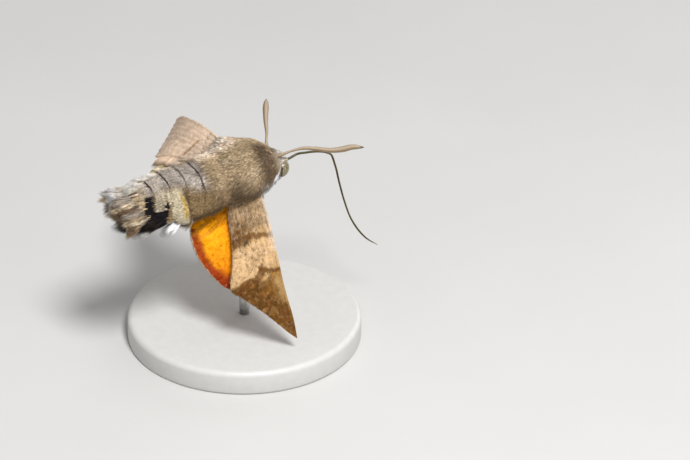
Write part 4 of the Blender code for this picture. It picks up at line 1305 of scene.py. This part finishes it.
def build_wing(name, shape, side, tinting, finish, rows=92, columns=120):
    """A thin wing of two faces, with veins and pleats in its shape and markings on its upper face, painted shade and
    glare among them.
    """
    out, across = np.meshgrid(np.linspace(0, 1, columns), np.linspace(0, 1, rows), indexing="ij")
    flat = outline_point(shape, out, across)
    colour = tinting(flat[..., 0], flat[..., 1], side)
    rim = np.minimum(np.minimum(across, 1 - across) * rows, (1 - out) * columns)
    half = WING_HALF * step(-1.5, 2.5, rim)
    veins = vein_height(shape, out, across) * step(0.0, 3.0, rim)
    ragged = 0.05 * noise(np.stack([flat[..., 0], flat[..., 1], out * 0], -1), 0.5, 90)
    top = wing_surface(shape, side, out, across, half + veins + ragged)
    bottom = wing_surface(shape, side, out, across, -half - 0.6 * veins + ragged)
    count = out.size
    faces = [sheet_faces(columns, rows), sheet_faces(columns, rows, start=count)[:, ::-1]]
    index = np.arange(count).reshape(columns, rows)
    loop = np.concatenate([index[:, 0], index[-1, 1:], index[-2::-1, -1], index[0, -2:0:-1]])
    after = np.roll(loop, -1)
    faces.append(np.stack([loop, loop + count, after], 1))
    faces.append(np.stack([after, loop + count, after + count], 1))
    vein_shade = 1 - 0.22 * (veins / VEIN_HEIGHT)[..., None]
    under = colour * 0.35 + np.array(UNDER_TINT) * 0.65
    tints = np.concatenate([(colour * vein_shade).reshape(-1, 3), under.reshape(-1, 3)])
    points = np.concatenate([top.reshape(-1, 3), bottom.reshape(-1, 3)])
    return piece(f"{name}_sheet", points, np.concatenate(faces), finish, tints, nodes=(name,))


def wing_frame(shape, side, out, across):
    """Point, directions outward and towards the trailing edge, and upper normal of a wing."""
    e = 0.004
    out_way = unit(wing_surface(shape, side, out + e, across) - wing_surface(shape, side, out - e, across))
    back_way = unit(wing_surface(shape, side, out, across + e) - wing_surface(shape, side, out, across - e))
    normal = unit(np.cross(out_way, back_way))
    upper = wing_axes(side)[3]
    normal = normal * np.sign(normal @ upper)[:, None]
    return wing_surface(shape, side, out, across), out_way, back_way, normal


def build_fringe(name, shape, side, tinting, finish, edge_tint, count=1500, length=(0.35, 0.75)):
    """Cilia along the outer and trailing margins."""
    draw = np.random.default_rng(len(name) * 7 + (3 if side == "left" else 0))
    rear = draw.uniform(0, 1, count) < 0.35
    out = np.where(rear, draw.uniform(0.1, 0.98, count), draw.uniform(0.955, 0.985, count))
    across = np.where(rear, draw.uniform(0.965, 0.985, count), draw.uniform(0.02, 0.98, count))
    root, out_way, back_way, normal = wing_frame(shape, side, out, across)
    heading = np.where(rear[:, None], back_way + 0.35 * out_way, out_way + 0.15 * back_way)
    heading = unit(heading + draw.normal(0, 0.12, (count, 3)))
    flat = outline_point(shape, out, across)
    tint = tinting(flat[:, 0], flat[:, 1], side)
    tint = paint(tint, edge_tint, np.where(rear, 0.3, 0.45))
    tint = vary(draw, tint, 0.75, 1.2)
    tip = paint(tint, edge_tint, np.full(count, 0.7))
    place = np.stack([out, across], axis=1) * 0.98 + 0.01
    lengths = draw.uniform(*length, count)
    heading, _ = clumped(draw, root, heading, lengths, 0.12, 0.2)
    tufts(f"fringe_{name}", root, heading, normal, lengths, draw.uniform(0.05, 0.09, count), tint, tip, place,
          finish, rise=draw.uniform(-0.05, 0.1, count), dark=0.9)


def build_trailing_hair(name, shape, side, tinting, finish, count, length, lean):
    """Long soft hair along the trailing edge, which reaches back towards the abdomen."""
    draw = np.random.default_rng(210)
    out = draw.uniform(0.02, 0.9, count)
    root, _, _, normal = wing_frame(shape, side, out, draw.uniform(0.93, 0.985, count))
    _, span, chord, _ = wing_axes(side)
    heading = unit(-chord * lean - span * (1.1 - out)[:, None] + draw.normal(0, 0.07, (count, 3)))
    lengths = draw.uniform(*length, count) * (1 - 0.2 * out)
    heading, clump = clumped(draw, root, heading, lengths, 0.06, 0.4)
    flat = outline_point(shape, out, np.full(count, 0.97))
    tint = vary(draw, tinting(flat[:, 0], flat[:, 1], side), 0.8, 1.15, clump, 0.1)
    place = np.stack([out, draw.uniform(0, 1, count)], axis=1) * 0.98 + 0.01
    tufts(f"trail_hair_{name}", root, heading, normal, lengths, draw.uniform(0.07, 0.11, count), tint,
          np.clip(tint * 1.1, 0, 1), place, finish, rise=draw.uniform(-0.05, 0.1, count), dark=0.9)


def build_wing_hair(name, shape, side, tinting, finish, count, reach, length, base_tint):
    """Longer hair over the wing's root, thinning outward."""
    draw = np.random.default_rng(len(name) * 11 + (5 if side == "left" else 0))
    out = reach * draw.uniform(0, 1, count) ** 1.3
    across = draw.uniform(0.03, 0.97, count)
    root, out_way, back_way, normal = wing_frame(shape, side, out, across)
    heading = unit(out_way + back_way * draw.uniform(-0.05, 0.45, count)[:, None])
    lengths = draw.uniform(*length, count) * (1 - 0.5 * out / reach)
    heading, clump = clumped(draw, root, heading, lengths, 0.06, 0.5)
    flat = outline_point(shape, out, across)
    tint = paint(tinting(flat[:, 0], flat[:, 1], side), base_tint, 0.75 * (1 - out / reach))
    tint = vary(draw, tint, 0.62, 1.25, clump, 0.15)
    place = np.stack([out / reach, across], axis=1) * 0.98 + 0.01
    tufts(f"hair_{name}", root + normal * WING_HALF * 0.6, heading, normal, lengths, draw.uniform(0.07, 0.12, count),
          tint, np.clip(tint * 1.15, 0, 1), place, finish, rise=draw.uniform(0.04, 0.2, count),
          droop=draw.uniform(0.05, 0.2, count))


def build_wing_scales(name, shape, side, tinting, finish, count, shades=(0.82, 1.18)):
    """Flat scales that lift off the wing's upper face and roughen it."""
    draw = np.random.default_rng(len(name) * 13 + (9 if side == "left" else 0))
    out = draw.uniform(0.02, 0.98, count)
    across = draw.uniform(0.015, 0.985, count)
    root, out_way, back_way, normal = wing_frame(shape, side, out, across)
    heading = unit(out_way + back_way * draw.normal(0.1, 0.15, count)[:, None])
    lengths = draw.uniform(0.28, 0.5, count)
    flat = outline_point(shape, out, across)
    tint = vary(draw, tinting(flat[:, 0], flat[:, 1], side), *shades)
    place = np.stack([out, across], axis=1) * 0.98 + 0.01
    tufts(f"scales_{name}", root + normal * WING_HALF * 0.85, heading, normal, lengths,
          draw.uniform(0.10, 0.17, count), tint, np.clip(tint * 1.05, 0, 1), place, finish,
          rise=draw.uniform(0.0, 0.05, count), droop=0.06, flat=0.08, dark=0.95)


def build_wings(fore, hind, fore_coat, hind_coat):
    for side in ("left", "right"):
        name = f"forewing_{side}"
        shades, count = ((0.82, 1.18), 5200) if side == "right" else ((0.93, 1.06), 2600)
        build_wing(name, FOREWING, side, forewing_tint, fore)
        build_fringe(name, FOREWING, side, forewing_tint, fore_coat, (0.33, 0.22, 0.12), 1800, (0.3, 0.55))
        build_wing_hair(name, FOREWING, side, forewing_tint, fore_coat, 2600, 0.30, (0.8, 1.6), TAN)
        build_wing_scales(name, FOREWING, side, forewing_tint, fore_coat, count, shades)
        name = f"hindwing_{side}"
        build_wing(name, HINDWING, side, hindwing_tint, hind, rows=72, columns=84)
        build_fringe(name, HINDWING, side, hindwing_tint, hind_coat, CREAM, 1800, (0.3, 0.6))
        build_wing_hair(name, HINDWING, side, hindwing_tint, hind_coat, 800, 0.32, (0.7, 1.3),
                        (0.85, 0.42, 0.02))
        build_wing_scales(name, HINDWING, side, hindwing_tint, hind_coat, count // 2, (0.88, 1.1))
    build_trailing_hair("forewing_left", FOREWING, "left", forewing_tint, fore_coat, 2400, (1.9, 3.1), 1.0)
    build_trailing_hair("hindwing_right", HINDWING, "right", hindwing_tint, hind_coat, 1600, (0.6, 1.1), 0.3)


# Feelers, tongue and legs


def build_antennae(finish):
    """Jointed feelers: pale scales above, a dark line behind, dark at the hooked tip."""
    sides = 20
    per_joint = 5
    shares = np.linspace(0, 1, ANTENNA_JOINTS * per_joint + 1)
    for side in ("left", "right"):
        radii = curve([r[0] for r in ANTENNA_RADII], [[r[1]] for r in ANTENNA_RADII], shares)[:, 0]
        phase = (shares * ANTENNA_JOINTS) % 1.0
        joint = 0.90 + 0.12 * np.sin(np.pi * phase)
        rings = tube_rings(ANTENNAE[side], shares, radii * joint, sides, squash=0.85)
        points, faces = loft(rings)
        normal = unit(rings - rings.mean(axis=1, keepdims=True))
        up = normal[..., 2]
        colour = np.ones(rings.shape) * np.array((0.23, 0.170, 0.105))
        colour = paint(colour, (0.15, 0.095, 0.06), 0.7 * band(up, 0.25, 0.62, 0.10))
        colour = paint(colour, (0.38, 0.30, 0.21), 0.7 * step(0.70, 0.92, up))
        colour = paint(colour, (0.07, 0.045, 0.030), 0.8 * step(-0.2, -0.6, up))
        share = np.broadcast_to(shares[:, None], up.shape)
        ring_phase = np.broadcast_to(phase[:, None], up.shape)
        colour = paint(colour, (0.09, 0.06, 0.04), 0.5 * step(0.86, 0.97, ring_phase))
        colour = paint(colour, (0.05, 0.035, 0.025), 0.9 * step(0.93, 0.98, share))
        tints = colour.reshape(-1, 3)
        tints = np.concatenate([tints, tints[:1], tints[-1:]])
        piece(f"feeler_{side}", points, faces, finish, tints, nodes=(f"antenna_{side}",))


def build_tongue(finish):
    shares = np.linspace(0, 1, 421)
    radii = curve([r[0] for r in TONGUE_RADII], [[r[1]] for r in TONGUE_RADII], shares)[:, 0]
    rings = tube_rings(TONGUE_PATH, shares, radii * (0.95 + 0.05 * np.cos(shares * 2 * math.pi * 140)), 16)
    points, faces = loft(rings)
    normal = unit(rings - rings.mean(axis=1, keepdims=True))
    colour = np.ones(rings.shape) * np.array((0.050, 0.036, 0.012))
    # Painted highlight: yellowish along the side of the tongue that faces forward
    colour = paint(colour, (0.30, 0.26, 0.05), 0.7 * step(0.2, 0.9, normal[..., 0]))
    mottle = noise(rings, 0.6, 95)
    colour = paint(colour, (0.02, 0.015, 0.01), 0.6 * step(0.1, 0.7, mottle))
    tints = colour.reshape(-1, 3)
    tints = np.concatenate([tints, tints[:1], tints[-1:]])
    piece("tongue_tube", points, faces, finish, tints, nodes=("proboscis",))


def build_legs(skin, coat):
    draw = np.random.default_rng(180)
    shares = np.linspace(0, 1, 90)
    for pair, (path, sizes) in LEGS.items():
        places = np.linspace(0, 1, len(sizes))
        radii = curve(places, np.array(sizes)[:, None], shares)[:, 0]
        tarsus = 1 + 0.12 * np.sin(shares * 60) * step(0.72, 0.8, shares)
        for side, sign in (("left", 1), ("right", -1)):
            mirrored = np.array(path) * np.array([1, sign, 1])
            rings = tube_rings(mirrored, shares, radii * tarsus, 16)
            points, faces = loft(rings)
            share = np.broadcast_to(shares[:, None], rings.shape[:2])
            colour = paint(np.ones(rings.shape) * np.array(CREAM), UMBER, 0.6 * step(0.7, 0.95, share))
            tints = colour.reshape(-1, 3)
            tints = np.concatenate([tints, tints[:1], tints[-1:]])
            piece(f"limb_{pair}_{side}", points, faces, skin, tints, nodes=(f"leg_{pair}_{side}",))
            count = 1000
            i = draw.integers(1, 84, count)
            j = draw.integers(16, size=count)
            root = rings[i, j]
            centre = rings.mean(axis=1)
            normal = unit(root - centre[i])
            ahead = unit(centre[i + 1] - centre[i - 1])
            heading = unit(ahead + draw.normal(0, 0.12, (count, 3)))
            tint = vary(draw, colour[i, j], 0.75, 1.2)
            place = np.stack([j / 16 + draw.uniform(0, 0.06, count), i / 90], axis=1) * 0.95 + 0.02
            tufts(f"limb_coat_{pair}_{side}", root, heading, normal, draw.uniform(0.25, 0.5, count),
                  draw.uniform(0.05, 0.09, count), tint, np.clip(tint * 1.15, 0, 1), place, coat,
                  rise=draw.uniform(0.05, 0.3, count))


# Stand, floor, lights and camera


def build_stand(paint_finish, steel):
    sides = 192
    bevel = np.linspace(0, math.pi / 2, 12)
    profile = [(BASE_RADIUS - 0.4, 0.0), (BASE_RADIUS - 0.1, 0.1), (BASE_RADIUS, 0.4)]
    profile += [(BASE_RADIUS - BASE_BEVEL * (1 - math.cos(a)), BASE_HEIGHT - BASE_BEVEL * (1 - math.sin(a))) for a in bevel]
    profile += [(BASE_RADIUS * k, BASE_HEIGHT) for k in (0.7, 0.4, 0.12)]
    turns = np.arange(sides) * 2 * math.pi / sides
    rings = np.array([[(r * math.cos(a), r * math.sin(a), z) for a in turns] for r, z in profile])
    points, faces = loft(rings)
    piece("stand_base_turned", points, faces, paint_finish, posed=False, nodes=("stand_base",))
    low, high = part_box("stand_rod")
    turns = np.arange(48) * 2 * math.pi / 48
    levels = np.linspace(low.z / MM - 0.25, high.z / MM + 0.5, 12)
    rings = np.array([[(ROD_RADIUS * math.cos(a), ROD_RADIUS * math.sin(a), z) for a in turns] for z in levels])
    points, faces = loft(rings)
    piece("stand_rod_round", points, faces, steel, posed=False, nodes=("stand_rod",))


def build_floor():
    size = 4000.0
    mesh = bpy.data.meshes.new("floor")
    corners = [(-size, -size, 0), (size, -size, 0), (size, size, 0), (-size, size, 0)]
    mesh.from_pydata([Vector(p) * MM for p in corners], [], [(0, 1, 2, 3)])
    mesh.materials.append(plain_material("floor_paper", (0.50, 0.495, 0.485), (0.53, 0.525, 0.515), 0.85, 0.02, 0.05))
    floor = bpy.data.objects.new("floor", mesh)
    bpy.context.scene.collection.objects.link(floor)


def view_axes():
    a = math.radians(CAMERA_AZIMUTH)
    e = math.radians(CAMERA_ELEVATION)
    back = Vector((math.sin(a) * math.cos(e), -math.cos(a) * math.cos(e), math.sin(e)))
    right = Vector((math.cos(a), math.sin(a), 0))
    return right, back.cross(right), back


def add_light(name, place, aim, size, power):
    data = bpy.data.lights.new(name, "AREA")
    data.shape = "DISK"
    data.size = size * MM
    data.energy = power
    light = bpy.data.objects.new(name, data)
    bpy.context.scene.collection.objects.link(light)
    light.location = place * MM
    light.rotation_euler = (aim - place).to_track_quat("-Z", "Y").to_euler()


def set_camera_and_lights():
    right, up, back = view_axes()
    body = Vector(POSE[:3, 3])
    aim = body + right * BODY_LEFT_OF_AIM - up * BODY_ABOVE_AIM
    data = bpy.data.cameras.new("camera")
    data.sensor_width = SENSOR
    data.sensor_fit = "HORIZONTAL"
    data.lens = PIXELS_PER_MM * CAMERA_DISTANCE / IMAGE_WIDTH * SENSOR
    data.clip_start = 0.01
    data.clip_end = 20.0
    camera = bpy.data.objects.new("camera", data)
    bpy.context.scene.collection.objects.link(camera)
    camera.location = (aim + back * CAMERA_DISTANCE) * MM
    camera.rotation_euler = back.to_track_quat("Z", "Y").to_euler()
    bpy.context.scene.camera = camera
    add_light("key", body + right * 95 + up * 205 + back * 460, body, 130.0, 3.4)
    add_light("fill", body + right * 420 + up * 120 + back * 300, body, 420.0, 0.35)
    add_light("front", body + right * 300 + up * 60 - back * 380 + Vector((0, 0, 260)), body, 300.0, 0.5)
    world = bpy.data.worlds.new("studio")
    world.use_nodes = True
    world.node_tree.nodes["Background"].inputs["Color"].default_value = (1.0, 1.0, 1.0, 1.0)
    world.node_tree.nodes["Background"].inputs["Strength"].default_value = 0.46
    bpy.context.scene.world = world
    bpy.context.scene.view_settings.view_transform = "Standard"


def main():
    set_camera_and_lights()
    build_floor()
    skin = tinted_material("skin_under_fur", 0.8, 0.1, 0.05, 6.0)
    fur = tinted_material("fur_thorax", 0.65, 0.06, 0.0, 2.5, specular=0.15)
    banded = tinted_material("fur_abdomen", 0.7, 0.0, 0.0, 2.5, specular=0.08)
    brush = tinted_material("tail_hair", 0.6, 0.1, 0.0, 2.0, specular=0.2)
    white_fur = tinted_material("fur_palps", 0.65, 0.25, 0.0, 3.0)
    fore = scaled_material("forewing_scales", 0.65, 0.0, 0.03, 7.0)
    hind = scaled_material("hindwing_scales", 0.65, 0.0, 0.025, 7.0)
    fore_coat = tinted_material("forewing_fringe", 0.65, 0.0, 0.0, 3.0, specular=0.12)
    hind_coat = tinted_material("hindwing_fringe", 0.65, 0.0, 0.0, 3.0, specular=0.02)
    horn = tinted_material("feeler_scales", 0.55, 0.15, 0.02, 9.0)
    tongue = tinted_material("tongue_horn", 0.35, 0.0, 0.008, 9.0)
    limb = tinted_material("leg_scales", 0.7, 0.15, 0.02, 8.0)
    build_skin(skin)
    build_trunk_coat(fur, banded)
    build_neck_coat(fur)
    build_head_coat(fur)
    build_eye_ring(fur)
    build_eyes(eye_material())
    build_palps(white_fur, white_fur)
    build_side_tufts(banded)
    build_tail(brush)
    build_tail_root(brush)
    build_wings(fore, hind, fore_coat, hind_coat)
    build_antennae(horn)
    build_tongue(tongue)
    build_legs(limb, limb)
    paint_finish = plain_material("stand_paint", (0.50, 0.495, 0.48), (0.54, 0.535, 0.52), 0.45, 0.8, 0.01)
    steel = plain_material("stand_steel", (0.58, 0.58, 0.58), (0.68, 0.68, 0.68), 0.28, 2.0, 0.004, 1.0, (1, 1, 0.05))
    build_stand(paint_finish, steel)


main()
